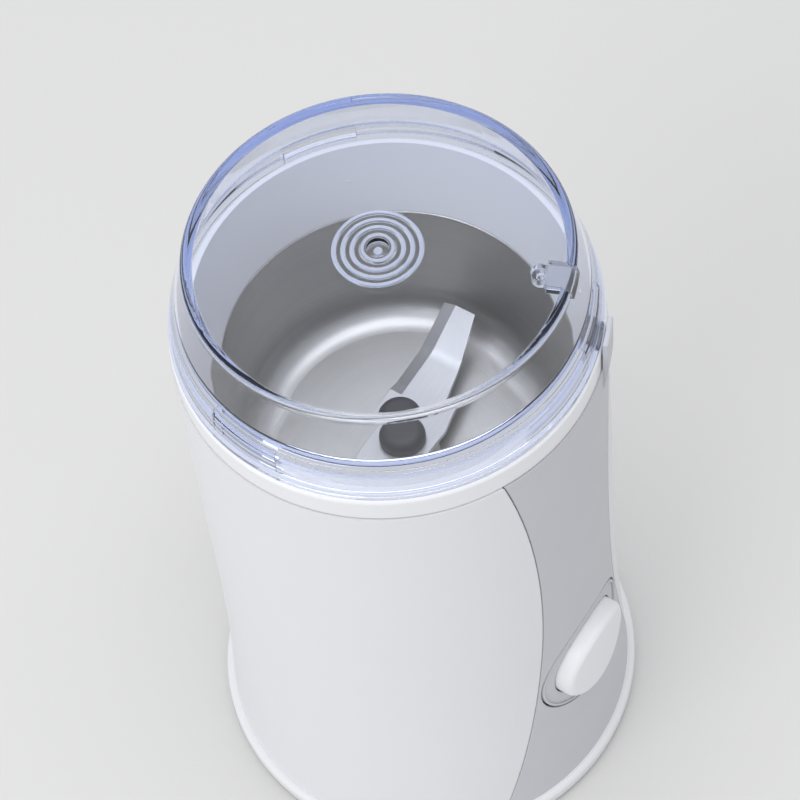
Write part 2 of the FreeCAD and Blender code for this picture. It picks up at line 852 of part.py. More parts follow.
def core_outline(shift):
    """Solid profile of the body's outside, moved by shift."""
    return [
        (0.0, s("ring_top_z")),
        (s("low_radius") + shift, s("ring_top_z"), -(s("flare_bend") - shift)),
        (s("flare_top_radius") + shift, s("flare_top_z")),
        (s("tube_radius") + shift, s("seam_z")),
        (0.0, s("seam_z")),
    ]


# Base: cover with its ring, feet and screws

def make_base():
    low = s("foot_proud")
    plate = low + s("base_plate")
    edge = s("ring_edge")
    ring = s("ring_radius")
    top = s("ring_top_z")
    spigot = s("spigot_radius")
    cover = turned("base_cover_body", [
        (0.0, low), (ring - edge, low, edge), (ring, low + edge), (ring, top - edge, edge),
        (ring - edge, top), (spigot, top), (spigot, s("spigot_top_z")),
        (spigot - s("spigot_wall"), s("spigot_top_z")), (spigot - s("spigot_wall"), plate), (0.0, plate),
    ])
    vents = new_sketch(cover, "XY_Plane", shift=plate)
    half = s("vent_width") / 2
    for i in range(-3, 4):
        middle = s("vent_pitch") * float(i)
        reach = (s("vent_circle") * s("vent_circle") - middle * middle).root()
        for side in (1.0, -1.0):
            near, far = sorted((s("vent_rib_half") * side, reach * side), key=lambda size: size.value)
            rectangle(vents, middle - half, middle + half, near, far)
    pocket(cover, vents)
    seats = new_sketch(cover, "XY_Plane", shift=low)
    for x, y in ring_points(s("foot_circle"), 4, 45.0):
        circle(seats, x, y, s("foot_radius") + s("foot_fit"))
    for x, y in ring_points(s("base_screw_circle"), 3, SIZES["base_screw_degrees"]):
        circle(seats, x, y, s("base_screw_head") + s("screw_hole_gap"))
    pocket(cover, seats, s("foot_sink"), back=True)
    holes = new_sketch(cover, "XY_Plane", shift=plate)
    for x, y in ring_points(s("base_screw_circle"), 3, SIZES["base_screw_degrees"]):
        circle(holes, x, y, s("base_screw_radius") + s("screw_hole_gap"))
    pocket(cover, holes)
    keep("base_cover", cover)

    feet = new_body("feet_body")
    pads = new_sketch(feet, "XY_Plane")
    for x, y in ring_points(s("foot_circle"), 4, 45.0):
        circle(pads, x, y, s("foot_radius"))
    pad(feet, pads, low + s("foot_sink"))
    keep("rubber_feet", feet)

    screws = new_body("base_screws_body")
    heads = new_sketch(screws, "XY_Plane", shift=low + s("base_head_sink"))
    shanks = new_sketch(screws, "XY_Plane", shift=low + s("foot_sink"))
    for x, y in ring_points(s("base_screw_circle"), 3, SIZES["base_screw_degrees"]):
        circle(heads, x, y, s("base_screw_head"))
        circle(shanks, x, y, s("base_screw_radius"))
    pad(screws, heads, s("foot_sink") - s("base_head_sink"))
    pad(screws, shanks, s("base_screw_top_z") - low - s("foot_sink"))
    keep("base_screws", screws)


# Grey panel and the recess it lies in

def panel_blank(name, depth_out, depth_in, shrink):
    """Piece of the body's skin inside the hourglass outline."""
    sleeve = turned(name + "_sleeve", tube_outline(depth_out, depth_in, s("ring_top_z"), s("seam_z")))
    prism = new_body(name + "_prism")
    front = new_sketch(prism, "XZ_Plane")
    hourglass(front, shrink)
    pad(prism, front, s("low_radius") + s("spare"))
    return boolean("MultiCommon", name + "_blank", sleeve, prism), prism


def clip_boxes(name):
    """Snap hooks behind the panel, two near the top and two near the bottom."""
    boxes = []
    for level, root in ((s("clip_high_z"), s("clip_high_root")), (s("clip_low_z"), s("clip_low_root"))):
        for side in (1.0, -1.0):
            left = s("clip_across") * side - s("clip_width") / 2
            right = s("clip_across") * side + s("clip_width") / 2
            end = root - s("clip_reach")
            top = level + s("clip_height")
            boxes.append(box_body(name, left, right, -root, -end, level, top))
            barb = s("clip_barb")
            boxes.append(box_body(name + "_barb", left, right, -(end + barb), -end, top - s("join"),
                                  top + barb))
    return boxes


def make_panel():
    blank, prism = panel_blank("panel", 0.0, s("panel_slack") - s("panel_depth"), s("panel_gap"))
    well = new_body("panel_well")
    opening = new_sketch(well, "XZ_Plane")
    circle(opening, 0.0, s("well_z"), s("well_radius"))
    pad(well, opening, s("low_radius") + s("spare"))
    skin = boolean("Cut", "panel_skin", blank, well)

    side = s("side_degrees")
    half = s("tongue_half")
    inner = s("tongue_inner")
    outer = s("tongue_outer")
    over = s("cut_over")
    bar = box_body("tongue_bar", -half, half, -(outer + over), -(inner - over), s("tongue_root_z") - over,
                   s("tongue_top_z") + over, turn=side)
    edge = s("tongue_edge")
    lap = s("tongue_lap")
    seam = s("seam_z")
    root_inner = inner - s("tongue_root_in")
    upper = turned("tongue_upper", [
        (inner, seam - lap), (outer, seam - lap), (outer, s("tongue_top_z") - edge, edge),
        (outer - edge, s("tongue_top_z")), (inner, s("tongue_top_z")),
    ])
    tip = boolean("MultiCommon", "tongue_tip", upper, bar)
    lower = turned("tongue_lower", [
        (root_inner, s("tongue_root_z")), (inner + s("slip_gap"), s("tongue_root_z")),
        (outer, seam - lap), (outer, seam), (root_inner, seam),
    ])
    root = boolean("MultiCommon", "tongue_root", lower, bar, prism)
    panel = boolean("MultiFuse", "front_panel_whole", skin, root, tip, *clip_boxes("clip"))
    keep("front_panel", panel)


# White tube of the body

def make_housing():
    tube = turned("tube", tube_outline(0.0, -s("tube_wall"), s("ring_top_z"), s("seam_z")))
    boss_low = s("spigot_top_z") + s("base_boss_gap")
    bosses = new_sketch(tube, "XY_Plane", shift=boss_low)
    holes_at = ring_points(s("base_screw_circle"), 3, SIZES["base_screw_degrees"])
    for x, y in holes_at:
        circle(bosses, x, y, s("base_boss_radius"))
    pad(tube, bosses, s("base_boss_top_z") - boss_low)
    bores = new_sketch(tube, "XY_Plane", shift=boss_low)
    for x, y in holes_at:
        circle(bores, x, y, s("base_screw_radius") + s("close_gap"))
    pocket(tube, bores, s("base_screw_top_z") + s("base_boss_gap") - boss_low, back=True)
    inlet = new_sketch(tube, "XZ_Plane")
    circle(inlet, 0.0, s("inlet_z"), s("inlet_hole"))
    pocket(tube, inlet)
    well = new_sketch(tube, "XZ_Plane")
    circle(well, 0.0, s("well_z"), s("well_radius"))
    pocket(tube, well, back=True)
    windows = new_sketch(tube, "XZ_Plane")
    for level in (s("clip_high_z"), s("clip_low_z")):
        for side in (1.0, -1.0):
            middle = s("clip_across") * side
            gap = s("clip_window_gap")
            half = s("clip_width") / 2 + gap
            rectangle(windows, middle - half, middle + half, level - gap,
                      level + s("clip_height") + s("clip_barb") + gap)
    pocket(tube, windows, back=True)
    recess, _ = panel_blank("recess", s("cut_over"), -s("panel_depth"), 0.0)
    keep("housing", boolean("Cut", "housing_cut", tube, recess))


# Button, its surround, carrier and switch

def well_axis_sketch(body):
    """Sketch whose horizontal axis runs front to back through the middle of the button."""
    return new_sketch(body, "YZ_Plane", up=s("well_z"))


def make_button():
    reach = s("surround_back")
    rim = s("well_radius") - s("surround_gap")
    hole = s("surround_hole")
    front = s("button_face") + s("cut_over")
    ring = new_body("surround_ring")
    profile = well_axis_sketch(ring)
    outline(profile, [
        (-front, rim), (-(reach + s("surround_flange_thick")), rim),
        (-(reach + s("surround_flange_thick")), s("surround_flange")), (-reach, s("surround_flange")),
        (-reach, hole), (-s("surround_floor"), hole),
        (-(s("surround_floor") + s("surround_slope")), rim - s("surround_lip")),
        (-front, rim - s("surround_lip")),
    ])
    revolve(ring, profile, "H_Axis")
    skin = turned("surround_limit", core_outline(-s("surround_sink")))
    keep("button_surround", boolean("MultiCommon", "button_surround_cut", ring, skin))

    face = s("button_face")
    radius = s("button_radius")
    edge = s("button_edge")
    dome = s("button_dome")
    inside = face - s("button_cap")
    flange = s("button_flange_front")
    button = new_body("button_body")
    profile = well_axis_sketch(button)
    crown = ((radius - edge) * (radius - edge) + dome * dome) / (dome * 2.0)
    outline(profile, [
        (-face, 0.0, -crown), (-(face - dome), radius - edge, -edge), (-(face - dome - edge), radius),
        (-flange, radius), (-flange, s("button_flange")),
        (-(flange - s("button_flange_thick")), s("button_flange")),
        (-(flange - s("button_flange_thick")), radius - s("button_wall")),
        (-inside, radius - s("button_wall")), (-inside, s("button_stem")),
        (-s("button_stem_end"), s("button_stem")), (-s("button_stem_end"), 0.0),
    ])
    revolve(button, profile, "H_Axis")
    keep("power_button", button)

    spring = coil("button_spring_body", s("button_stem") + s("spring_clearance"), s("spring_wire"),
                  inside - s("carrier_plate_front") - s("spring_end_gap") * 2.0, 5)
    spring.Placement = FreeCAD.Placement(
        FreeCAD.Vector(0, -(inside - s("spring_end_gap")).value, s("well_z").value),
        FreeCAD.Rotation(FreeCAD.Vector(1, 0, 0), -90))
    keep("button_spring", spring)


def make_switch():
    level = s("well_z")
    front = s("carrier_plate_front")
    back = front - s("carrier_plate_thick")
    half_x = s("carrier_plate_half_x")
    half_z = s("carrier_plate_half_z")
    carrier = new_body("carrier_body")
    plate = new_sketch(carrier, "XZ_Plane", shift=back)
    rounded_rectangle(plate, -half_x, half_x, level - half_z, level + half_z, s("carrier_corner"))
    pad(carrier, plate, s("carrier_plate_thick"))
    posts = new_sketch(carrier, "XZ_Plane", shift=front)
    for x, z in corners(s("carrier_post_x"), s("carrier_post_up")):
        circle(posts, x, level + z, s("carrier_post"))
    pad(carrier, posts, s("surround_back") - front)
    cheeks = new_sketch(carrier, "XZ_Plane", shift=back)
    near = s("switch_half_x") + s("slip_gap")
    reach = near + s("carrier_cheek")
    high = s("switch_half_z") + s("cheek_over")
    for left, right in ((near, reach), (-reach, -near)):
        rectangle(cheeks, left, right, level - high, level + high)
    pad(carrier, cheeks, back - s("switch_back"), back=True)
    stem = new_sketch(carrier, "XZ_Plane")
    circle(stem, 0.0, level, s("button_stem") + s("stem_gap"))
    pocket(carrier, stem, back=True)

    body = new_body("switch_block")
    block = new_sketch(body, "XZ_Plane", shift=s("switch_back"))
    rectangle(block, -s("switch_half_x"), s("switch_half_x"), level - s("switch_half_z"),
              level + s("switch_half_z"))
    pad(body, block, s("switch_front") - s("switch_back"))
    bore = new_sketch(body, "XZ_Plane", shift=s("plunger_tail") - s("plunger_room"))
    circle(bore, 0.0, level, s("plunger_radius") + s("close_gap"))
    pocket(body, bore, back=True)

    plunger = new_body("plunger_body")
    rod = new_sketch(plunger, "XZ_Plane", shift=s("plunger_tail"))
    circle(rod, 0.0, level, s("plunger_radius"))
    pad(plunger, rod, s("plunger_tip") - s("plunger_tail"))
    keep("switch_plunger", plunger)

    line = -(s("switch_back") + s("switch_screw_in"))
    screws = new_body("switch_screws_body")
    shanks = new_sketch(screws, "YZ_Plane", shift=-reach)
    heads = new_sketch(screws, "YZ_Plane", shift=reach)
    for side in (s("switch_screw_up"), -s("switch_screw_up")):
        circle(shanks, line, level + side, s("switch_screw"))
        circle(heads, line, level + side, s("switch_screw") + s("switch_screw_rim"))
    pad(screws, shanks, reach * 2.0)
    pad(screws, heads, s("switch_screw_head"))
    keep("switch_screws", screws)
    for owner in (carrier, body):
        holes = new_sketch(owner, "YZ_Plane", shift=-(reach + s("cut_over")))
        for side in (s("switch_screw_up"), -s("switch_screw_up")):
            circle(holes, line, level + side, s("switch_screw") + s("close_gap"))
        pocket(owner, holes, back=True)
    keep("button_carrier", carrier)
    keep("switch_body", body)


# White ring above the seam, with the neck and the chamber wall

def chamber_radius_at(level):
    """Inside radius of the cone between the bowl and the neck."""
    share = (level - s("chamber_low_z")) / (s("neck_top_z") - s("chamber_low_z"))
    return s("chamber_low_radius") + (s("neck_inner") - s("chamber_low_radius")) * share


def make_collar():
    low = s("collar_low_z")
    spigot = s("collar_spigot")
    outer = s("collar_radius")
    edge = s("collar_edge")
    lip = s("neck_edge")
    collar = turned("collar_body", [
        (outer, low), (outer, s("collar_top_z") - edge, edge),
        (outer - edge, s("collar_top_z")), (s("neck_outer"), s("collar_top_z")),
        (s("neck_outer"), s("neck_top_z") - lip, lip), (s("neck_outer") - lip, s("neck_top_z")),
        (s("neck_inner"), s("neck_top_z")), (s("chamber_low_radius"), s("chamber_low_z")),
        (s("chamber_low_radius") + s("chamber_wall"), s("chamber_low_z")),
        (chamber_radius_at(low) + s("chamber_wall"), low), (spigot - s("collar_spigot_wall"), low),
        (spigot - s("collar_spigot_wall"), s("collar_spigot_z")), (spigot, s("collar_spigot_z")),
        (spigot, low),
    ])
    bosses = new_sketch(collar, "XY_Plane", shift=s("chamber_low_z"))
    spots = ring_points(s("boss_circle"), 4, 45.0)
    for x, y in spots:
        circle(bosses, x, y, s("boss_radius"))
    pad(collar, bosses, low - s("chamber_low_z") + s("boss_lap"))
    holes = new_sketch(collar, "XY_Plane", shift=s("chamber_low_z"))
    for x, y in spots:
        circle(holes, x, y, s("cup_screw") + s("close_gap"))
    pocket(collar, holes, s("cup_screw_bite") + s("cup_screw_room"), back=True)
    slot_back = s("neck_outer") + s("slot_inset")
    slot = new_sketch(collar, "XY_Plane", shift=s("collar_top_z") + s("cut_over"), turn=s("side_degrees"))
    rectangle(slot, -s("slot_half"), s("slot_half"), -s("slot_outer"), -slot_back)
    pocket(collar, slot)
    groove = new_sketch(collar, "XY_Plane", shift=s("collar_top_z") + s("slot_over"), turn=s("side_degrees"))
    rectangle(groove, -s("slot_half"), s("slot_half"), -(slot_back + s("slip_gap")), -s("slot_inner"))
    pocket(collar, groove)
    keep("collar_ring", collar)


# Bowl, its cup and the seal round the shaft

def make_bowl():
    rim = s("chamber_low_z")
    sheet_size = s("bowl_sheet")
    floor = s("bowl_floor_z")
    corner = s("bowl_corner")
    wall = s("bowl_floor_radius")
    lip = s("bowl_cone_inner") - s("bowl_lip")
    bowl = turned("bowl_body", [
        (s("bowl_rim_outer"), rim), (s("bowl_rim_inner") + sheet_size, rim, sheet_size),
        (s("bowl_rim_inner"), rim - sheet_size), (wall, floor + corner, -corner), (wall - corner, floor),
        (s("bowl_cone_outer"), floor), (s("bowl_cone_inner"), s("bowl_cone_z")),
        (lip, s("bowl_cone_z")), (lip, s("bowl_cone_z") - sheet_size),
        (s("bowl_cone_inner") - sheet_size / 2.0, s("bowl_cone_z") - sheet_size),
        (s("bowl_cone_outer") - sheet_size / 2.0, floor - sheet_size),
        (wall - corner, floor - sheet_size, corner + sheet_size), (wall + sheet_size, floor + corner),
        (s("bowl_rim_inner") + sheet_size, rim - sheet_size), (s("bowl_rim_outer"), rim - sheet_size),
    ])
    keep("grinding_bowl", bowl)

    cup = turned("cup_body", [
        (s("cup_rim_inner") + s("cup_wall"), s("cup_rim_z")), (s("cup_rim_inner"), s("cup_rim_z")),
        (s("cup_inner"), s("cup_bend_z")), (s("cup_inner"), s("cup_floor_top_z")),
        (s("cup_hole"), s("cup_floor_top_z")), (s("cup_hole"), s("cup_floor_low_z")),
        (s("cup_inner") + s("cup_wall"), s("cup_floor_low_z")),
        (s("cup_inner") + s("cup_wall"), s("cup_bend_z")),
    ])
    webs = new_sketch(cup, "XY_Plane", shift=s("cup_rim_z"), turn=45.0)
    near = s("cup_rim_inner") + s("tab_web_in")
    web = s("tab_web_half")
    for side in (1.0, -1.0):
        start, end = sorted((near * side, s("boss_circle") * side), key=lambda size: size.value)
        rectangle(webs, start, end, -web, web)
        rectangle(webs, -web, web, start, end)
    pad(cup, webs, s("tab_thick"), back=True)
    tabs = new_sketch(cup, "XY_Plane", shift=s("cup_rim_z"))
    spots = ring_points(s("boss_circle"), 4, 45.0)
    for x, y in spots:
        circle(tabs, x, y, s("tab_radius"))
    pad(cup, tabs, s("tab_thick"), back=True)
    holes = new_sketch(cup, "XY_Plane", shift=s("cup_rim_z"))
    for x, y in spots:
        circle(holes, x, y, s("cup_screw") + s("slip_gap"))
    pocket(cup, holes, s("tab_thick"))
    mounts = new_sketch(cup, "XY_Plane", shift=s("cup_floor_top_z"))
    for x, y in corners(s("mount_x"), s("mount_y")):
        circle(mounts, x, y, s("mount_screw") + s("close_gap"))
    pocket(cup, mounts, s("cup_floor_top_z") - s("cup_floor_low_z"))
    keep("bowl_cup", cup)

    screws = new_body("cup_screws_body")
    under = s("cup_rim_z") - s("tab_thick")
    heads = new_sketch(screws, "XY_Plane", shift=under)
    shanks = new_sketch(screws, "XY_Plane", shift=under)
    for x, y in spots:
        circle(heads, x, y, s("cup_screw_head"))
        circle(shanks, x, y, s("cup_screw"))
    pad(screws, heads, s("cup_screw_top"), back=True)
    pad(screws, shanks, s("chamber_low_z") + s("cup_screw_bite") - under)
    keep("cup_screws", screws)

    hole = lip - s("close_gap")
    inner = s("shaft_radius") + s("slip_gap")
    flange = hole + s("seal_flange")
    top = s("bowl_cone_z") + s("seal_height")
    seal = turned("seal_body", [
        (inner, floor - s("seal_drop")), (hole, floor - s("seal_drop")), (hole, s("bowl_cone_z")),
        (flange, s("bowl_cone_z")), (flange - s("seal_edge"), top), (inner, top),
    ])
    keep("shaft_seal", seal)


# Blade, shaft and everything that turns with it

def make_blade():
    low = s("blade_z")
    sheet_size = s("blade_sheet")
    half = s("blade_half_long")
    bend = s("blade_bend")
    rise = s("blade_rise")
    drop = s("blade_drop")
    blade = new_body("blade_body")
    side = new_sketch(blade, "XZ_Plane", shift=-s("blade_half_wide"))
    outline(side, [
        (-half, low - drop), (-bend, low), (bend, low), (half, low + rise), (half, low + rise + sheet_size),
        (bend, low + sheet_size), (-bend, low + sheet_size), (-half, low - drop + sheet_size),
    ])
    pad(blade, side, s("blade_half_wide") * 2.0)
    wide = s("blade_half_wide")
    shoulder = s("blade_shoulder")
    end = half + s("cut_over")
    out = wide + s("cut_over")
    above = low + rise + s("spare")
    corners_of_trim = (
        (-end, -out), (end, -out), (end, -s("blade_lead")), (shoulder, -wide), (-shoulder, -wide),
        (-end, -s("blade_trail")),
    )
    for sign in (1.0, -1.0):
        trim = new_sketch(blade, "XY_Plane", shift=above)
        outline(trim, [(x * sign, y * sign) for x, y in corners_of_trim])
        pocket(blade, trim)
    hole = new_sketch(blade, "XY_Plane", shift=above)
    circle(hole, 0.0, 0.0, s("shaft_neck_radius"))
    pocket(blade, hole)
    keep("blade", blade)

    seat = low + sheet_size
    crown = s("nut_crown")
    nut = turned("nut_body", [
        (s("shaft_neck_radius"), seat), (s("nut_radius"), seat),
        (s("nut_radius"), s("nut_top_z") - crown, crown), (s("nut_radius") - crown, s("nut_top_z")),
        (0.0, s("nut_top_z")), (0.0, s("shaft_top_z")),
        (s("shaft_neck_radius"), s("shaft_top_z")),
    ])
    keep("blade_nut", nut)


def make_rotor():
    shaft = turned("shaft_body", [
        (0.0, s("shaft_low_z")), (s("shaft_radius"), s("shaft_low_z")), (s("shaft_radius"), s("blade_z")),
        (s("shaft_neck_radius"), s("blade_z")), (s("shaft_neck_radius"), s("shaft_top_z")),
        (0.0, s("shaft_top_z")),
    ])
    keep("motor_shaft", shaft)

    core = new_body("core_body")
    disc = new_sketch(core, "XY_Plane", shift=s("core_low_z"))
    circle(disc, 0.0, 0.0, s("core_radius"))
    circle(disc, 0.0, 0.0, s("shaft_radius"))
    pad(core, disc, s("core_top_z") - s("core_low_z"))
    slot = new_sketch(core, "XY_Plane", shift=s("core_top_z"))
    half = s("core_slot_half")
    rectangle(slot, -half, half, s("core_slot_floor"), s("core_radius") + s("cut_over"))
    around(core, pocket(core, slot), 8)
    keep("armature_core", core)

    corner = s("winding_corner")
    wide = s("winding_radius")
    inner = s("shaft_radius") + s("winding_gap")
    windings = new_body("windings_body")
    ends = new_sketch(windings, "XZ_Plane")
    for low, high in ((s("winding_low_z"), s("core_low_z")), (s("core_top_z"), s("winding_top_z"))):
        outline(ends, [
            (inner, low), (wide - corner, low, corner), (wide, low + corner), (wide, high - corner, corner),
            (wide - corner, high), (inner, high),
        ])
    revolve(windings, ends)
    lap = s("winding_bar_lap")
    gap = s("slip_gap")
    bar = new_sketch(windings, "XY_Plane", shift=s("core_low_z") - lap)
    rectangle(bar, gap - half, half - gap, s("core_slot_floor") + gap, wide - s("winding_bar_gap"))
    around(windings, pad(windings, bar, s("core_top_z") - s("core_low_z") + lap * 2.0), 8)
    keep("armature_windings", windings)

    commutator = new_body("commutator_body")
    drum = new_sketch(commutator, "XY_Plane", shift=s("commutator_low_z"))
    circle(drum, 0.0, 0.0, s("commutator_radius"))
    circle(drum, 0.0, 0.0, s("shaft_radius"))
    pad(commutator, drum, s("commutator_top_z") - s("commutator_low_z"))
    cut = new_sketch(commutator, "XY_Plane", shift=s("commutator_top_z"))
    slit = s("commutator_slit")
    rectangle(cut, -slit, slit, s("commutator_radius") - s("commutator_cut"),
              s("commutator_radius") + s("cut_over"))
    around(commutator, pocket(commutator, cut), 12)
    keep("commutator", commutator)

    disc_top = s("fan_low_z") + s("fan_disc")
    fan = turned("fan_body", [
        (s("shaft_radius"), s("fan_low_z")), (s("fan_radius"), s("fan_low_z")), (s("fan_radius"), disc_top),
        (s("fan_hub"), disc_top), (s("fan_hub"), s("fan_top_z")), (s("shaft_radius"), s("fan_top_z")),
    ])
    vane = new_sketch(fan, "XY_Plane", shift=disc_top - s("join"))
    root = s("fan_hub") - s("vane_half")
    bend = s("fan_radius") - s("vane_bend_in")
    tip = s("fan_radius") - s("vane_tip_in")
    lean = s("vane_lean")
    outline(vane, [
        (root, -s("vane_half")), (bend, s("vane_bend_up")), (tip, s("vane_tip_up")),
        (tip - lean, s("vane_tip_up") + s("vane_thick")), (bend - lean, s("vane_bend_up") + s("vane_thick")),
        (root, s("vane_half")),
    ])
    around(fan, pad(fan, vane, s("fan_top_z") - disc_top + s("join")), 9)
    keep("cooling_fan", fan)


# Fixed parts of the motor

def make_stator():
    stator = new_body("stator_body")
    stack = new_sketch(stator, "XY_Plane", shift=s("core_low_z"))
    rounded_rectangle(stack, -s("stator_half_x"), s("stator_half_x"), -s("stator_half_y"),
                      s("stator_half_y"), s("stator_corner"))
    pad(stator, stack, s("core_top_z") - s("core_low_z"))
    bore = new_sketch(stator, "XY_Plane", shift=s("core_top_z"))
    circle(bore, 0.0, 0.0, s("stator_bore"))
    pocket(stator, bore)
    windows = new_sketch(stator, "XY_Plane", shift=s("core_top_z"))
    for left, right in ((s("window_inner"), s("window_outer")), (-s("window_outer"), -s("window_inner"))):
        rectangle(windows, left, right, -s("window_half_y"), s("window_half_y"))
    for x, y in corners(s("bolt_x"), s("bolt_y")):
        circle(windows, x, y, s("bolt_radius") + s("slip_gap"))
    pocket(stator, windows)
    keep("stator_core", stator)

    for name, side in (("field_coil_rear", -1.0), ("field_coil_front", 1.0)):
        frame = new_body(name + "_body")
        sketch = new_sketch(frame, "XZ_Plane", shift=s("coil_near") * side)
        outer = s("coil_outer")
        inner = s("coil_inner")
        rounded_rectangle(sketch, -outer, outer, s("core_low_z") - s("coil_over"),
                          s("core_top_z") + s("coil_over"), s("coil_corner"))
        rounded_rectangle(sketch, -inner, inner, s("core_low_z") - s("coil_end_gap"),
                          s("core_top_z") + s("coil_end_gap"), s("coil_inner_corner"))
        pad(frame, sketch, s("coil_far") - s("coil_near"), back=side < 0)
        keep(name, frame)

    up_low = s("upper_plate_z")
    down_top = s("lower_plate_top_z")
    brackets = (
        ("upper_bracket", up_low, s("upper_plate_top_z"), s("core_top_z"), up_low),
        ("lower_bracket", s("lower_plate_z"), down_top, down_top, s("core_low_z")),
    )
    plate_x = s("stator_half_x") - s("bracket_inset")
    plate_y = s("stator_half_y") - s("bracket_side_inset")
    for name, low, high, leg_low, leg_high in brackets:
        upper = name == "upper_bracket"
        bracket = new_body(name + "_body")
        plate = new_sketch(bracket, "XY_Plane", shift=low)
        rounded_rectangle(plate, -plate_x, plate_x, -plate_y, plate_y, s("bracket_corner"))
        pad(bracket, plate, high - low)
        hub_low = high - s("bush_length") if upper else low - s("bush_length") / 2.0 - s("lower_hub_drop")
        hub = new_sketch(bracket, "XY_Plane", shift=hub_low)
        circle(hub, 0.0, 0.0, s("bracket_hub"))
        pad(bracket, hub, s("bush_length"))
        legs = new_sketch(bracket, "XY_Plane", shift=leg_low)
        for x, y in corners(s("bolt_x"), s("bolt_y")):
            circle(legs, x, y, s("leg_radius"))
        pad(bracket, legs, leg_high - leg_low)
        holes = new_sketch(bracket, "XY_Plane", shift=s("upper_plate_top_z") + s("cut_over"))
        circle(holes, 0.0, 0.0, s("bush_radius"))
        for x, y in corners(s("bolt_x"), s("bolt_y")):
            circle(holes, x, y, s("bolt_radius") + s("slip_gap"))
        if upper:
            for x, y in corners(s("mount_x"), s("mount_y")):
                circle(holes, x, y, s("mount_screw") + s("slip_gap"))
            near = s("upper_slot_near")
            far = s("upper_slot_far")
            for left, right in ((near, far), (-far, -near)):
                rectangle(holes, left, right, -s("upper_slot_half"), s("upper_slot_half"))
        else:
            near = s("lower_slot_near")
            far = s("lower_slot_far")
            for front, back in ((near, far), (-far, -near)):
                rectangle(holes, -s("lower_slot_half"), s("lower_slot_half"), front, back)
        pocket(bracket, holes)
        keep(name, bracket)
        bush = turned(name + "_bush", [
            (s("shaft_radius") + s("fit_gap"), hub_low), (s("bush_radius"), hub_low),
            (s("bush_radius"), hub_low + s("bush_length")),
            (s("shaft_radius") + s("fit_gap"), hub_low + s("bush_length")),
        ])
        keep("upper_bush" if upper else "lower_bush", bush)

    bolts = new_body("bolts_body")
    shanks = new_sketch(bolts, "XY_Plane", shift=s("lower_plate_z") - s("bolt_end"))
    heads = new_sketch(bolts, "XY_Plane", shift=s("upper_plate_top_z"))
    ends = new_sketch(bolts, "XY_Plane", shift=s("lower_plate_z"))
    for x, y in corners(s("bolt_x"), s("bolt_y")):
        circle(shanks, x, y, s("bolt_radius"))
        circle(heads, x, y, s("bolt_head"))
        circle(ends, x, y, s("bolt_head"))
    pad(bolts, shanks, s("upper_plate_top_z") - s("lower_plate_z") + s("bolt_end"))
    pad(bolts, heads, s("bolt_head_height"))
    pad(bolts, ends, s("bolt_nut_height"), back=True)
    keep("stator_bolts", bolts)


def make_mounts():
    mounts = new_body("mounts_body")
    rings = new_sketch(mounts, "XY_Plane", shift=s("upper_plate_top_z"))
    screws = new_body("motor_screws_body")
    heads = new_sketch(screws, "XY_Plane", shift=s("upper_plate_z"))
    shanks = new_sketch(screws, "XY_Plane", shift=s("upper_plate_z"))
    for x, y in corners(s("mount_x"), s("mount_y")):
        circle(rings, x, y, s("mount_radius"))
        circle(rings, x, y, s("mount_screw") + s("slip_gap"))
        circle(heads, x, y, s("mount_head"))
        circle(shanks, x, y, s("mount_screw"))
    pad(mounts, rings, s("cup_floor_low_z") - s("upper_plate_top_z"))
    pad(screws, heads, s("mount_head_height"), back=True)
    pad(screws, shanks, s("cup_floor_top_z") - s("upper_plate_z") - s("mount_screw_short"))
    keep("motor_mounts", mounts)
    keep("motor_screws", screws)


def make_brushes():
    middle = (s("commutator_low_z") + s("commutator_top_z")) / 2.0
    half = s("brush_half")
    tall = half + s("brush_over")
    wall = s("holder_wall")
    start = s("commutator_radius") + s("brush_gap")
    holder_start = start + s("holder_gap")
    gap = s("slip_gap")
    for name, side in (("right", 1.0), ("left", -1.0)):
        brush = new_body("brush_" + name + "_body")
        face = new_sketch(brush, "YZ_Plane", shift=(s("commutator_radius") - s("brush_sink")) * side)
        rectangle(face, -half, half, middle - tall, middle + tall)
        pad(brush, face, s("brush_long") + s("brush_sink"), back=side < 0)
        round_face = new_sketch(brush, "XY_Plane", shift=s("commutator_top_z") + s("cut_over"))
        circle(round_face, 0.0, 0.0, start)
        pocket(brush, round_face)
        keep("carbon_brush_" + name, brush)

        holder = new_body("holder_" + name + "_body")
        block = new_sketch(holder, "YZ_Plane", shift=holder_start * side)
        reach = s("holder_end") - holder_start
        rectangle(block, -(half + wall), half + wall, s("lower_plate_top_z"), middle + tall + wall)
        pad(holder, block, reach, back=side < 0)
        channel = new_sketch(holder, "YZ_Plane", shift=holder_start * side)
        rectangle(channel, -(half + gap), half + gap, middle - tall - gap, middle + tall + gap)
        pocket(holder, channel, reach - s("holder_floor"), back=side > 0)
        keep("brush_holder_" + name, holder)

        tail = s("commutator_radius") + s("brush_long")
        space = s("brush_spring_gap")
        spring = coil("brush_spring_" + name + "_body", s("brush_coil"), s("thin_wire"),
                      s("holder_end") - s("holder_floor") - tail - space * 2.0, 4)
        spring.Placement = FreeCAD.Placement(
            FreeCAD.Vector(side * (tail + space).value, 0, middle.value),
            FreeCAD.Rotation(FreeCAD.Vector(0, 1, 0), 90 * side))
        keep("brush_spring_" + name, spring)


# Supply parts near the base

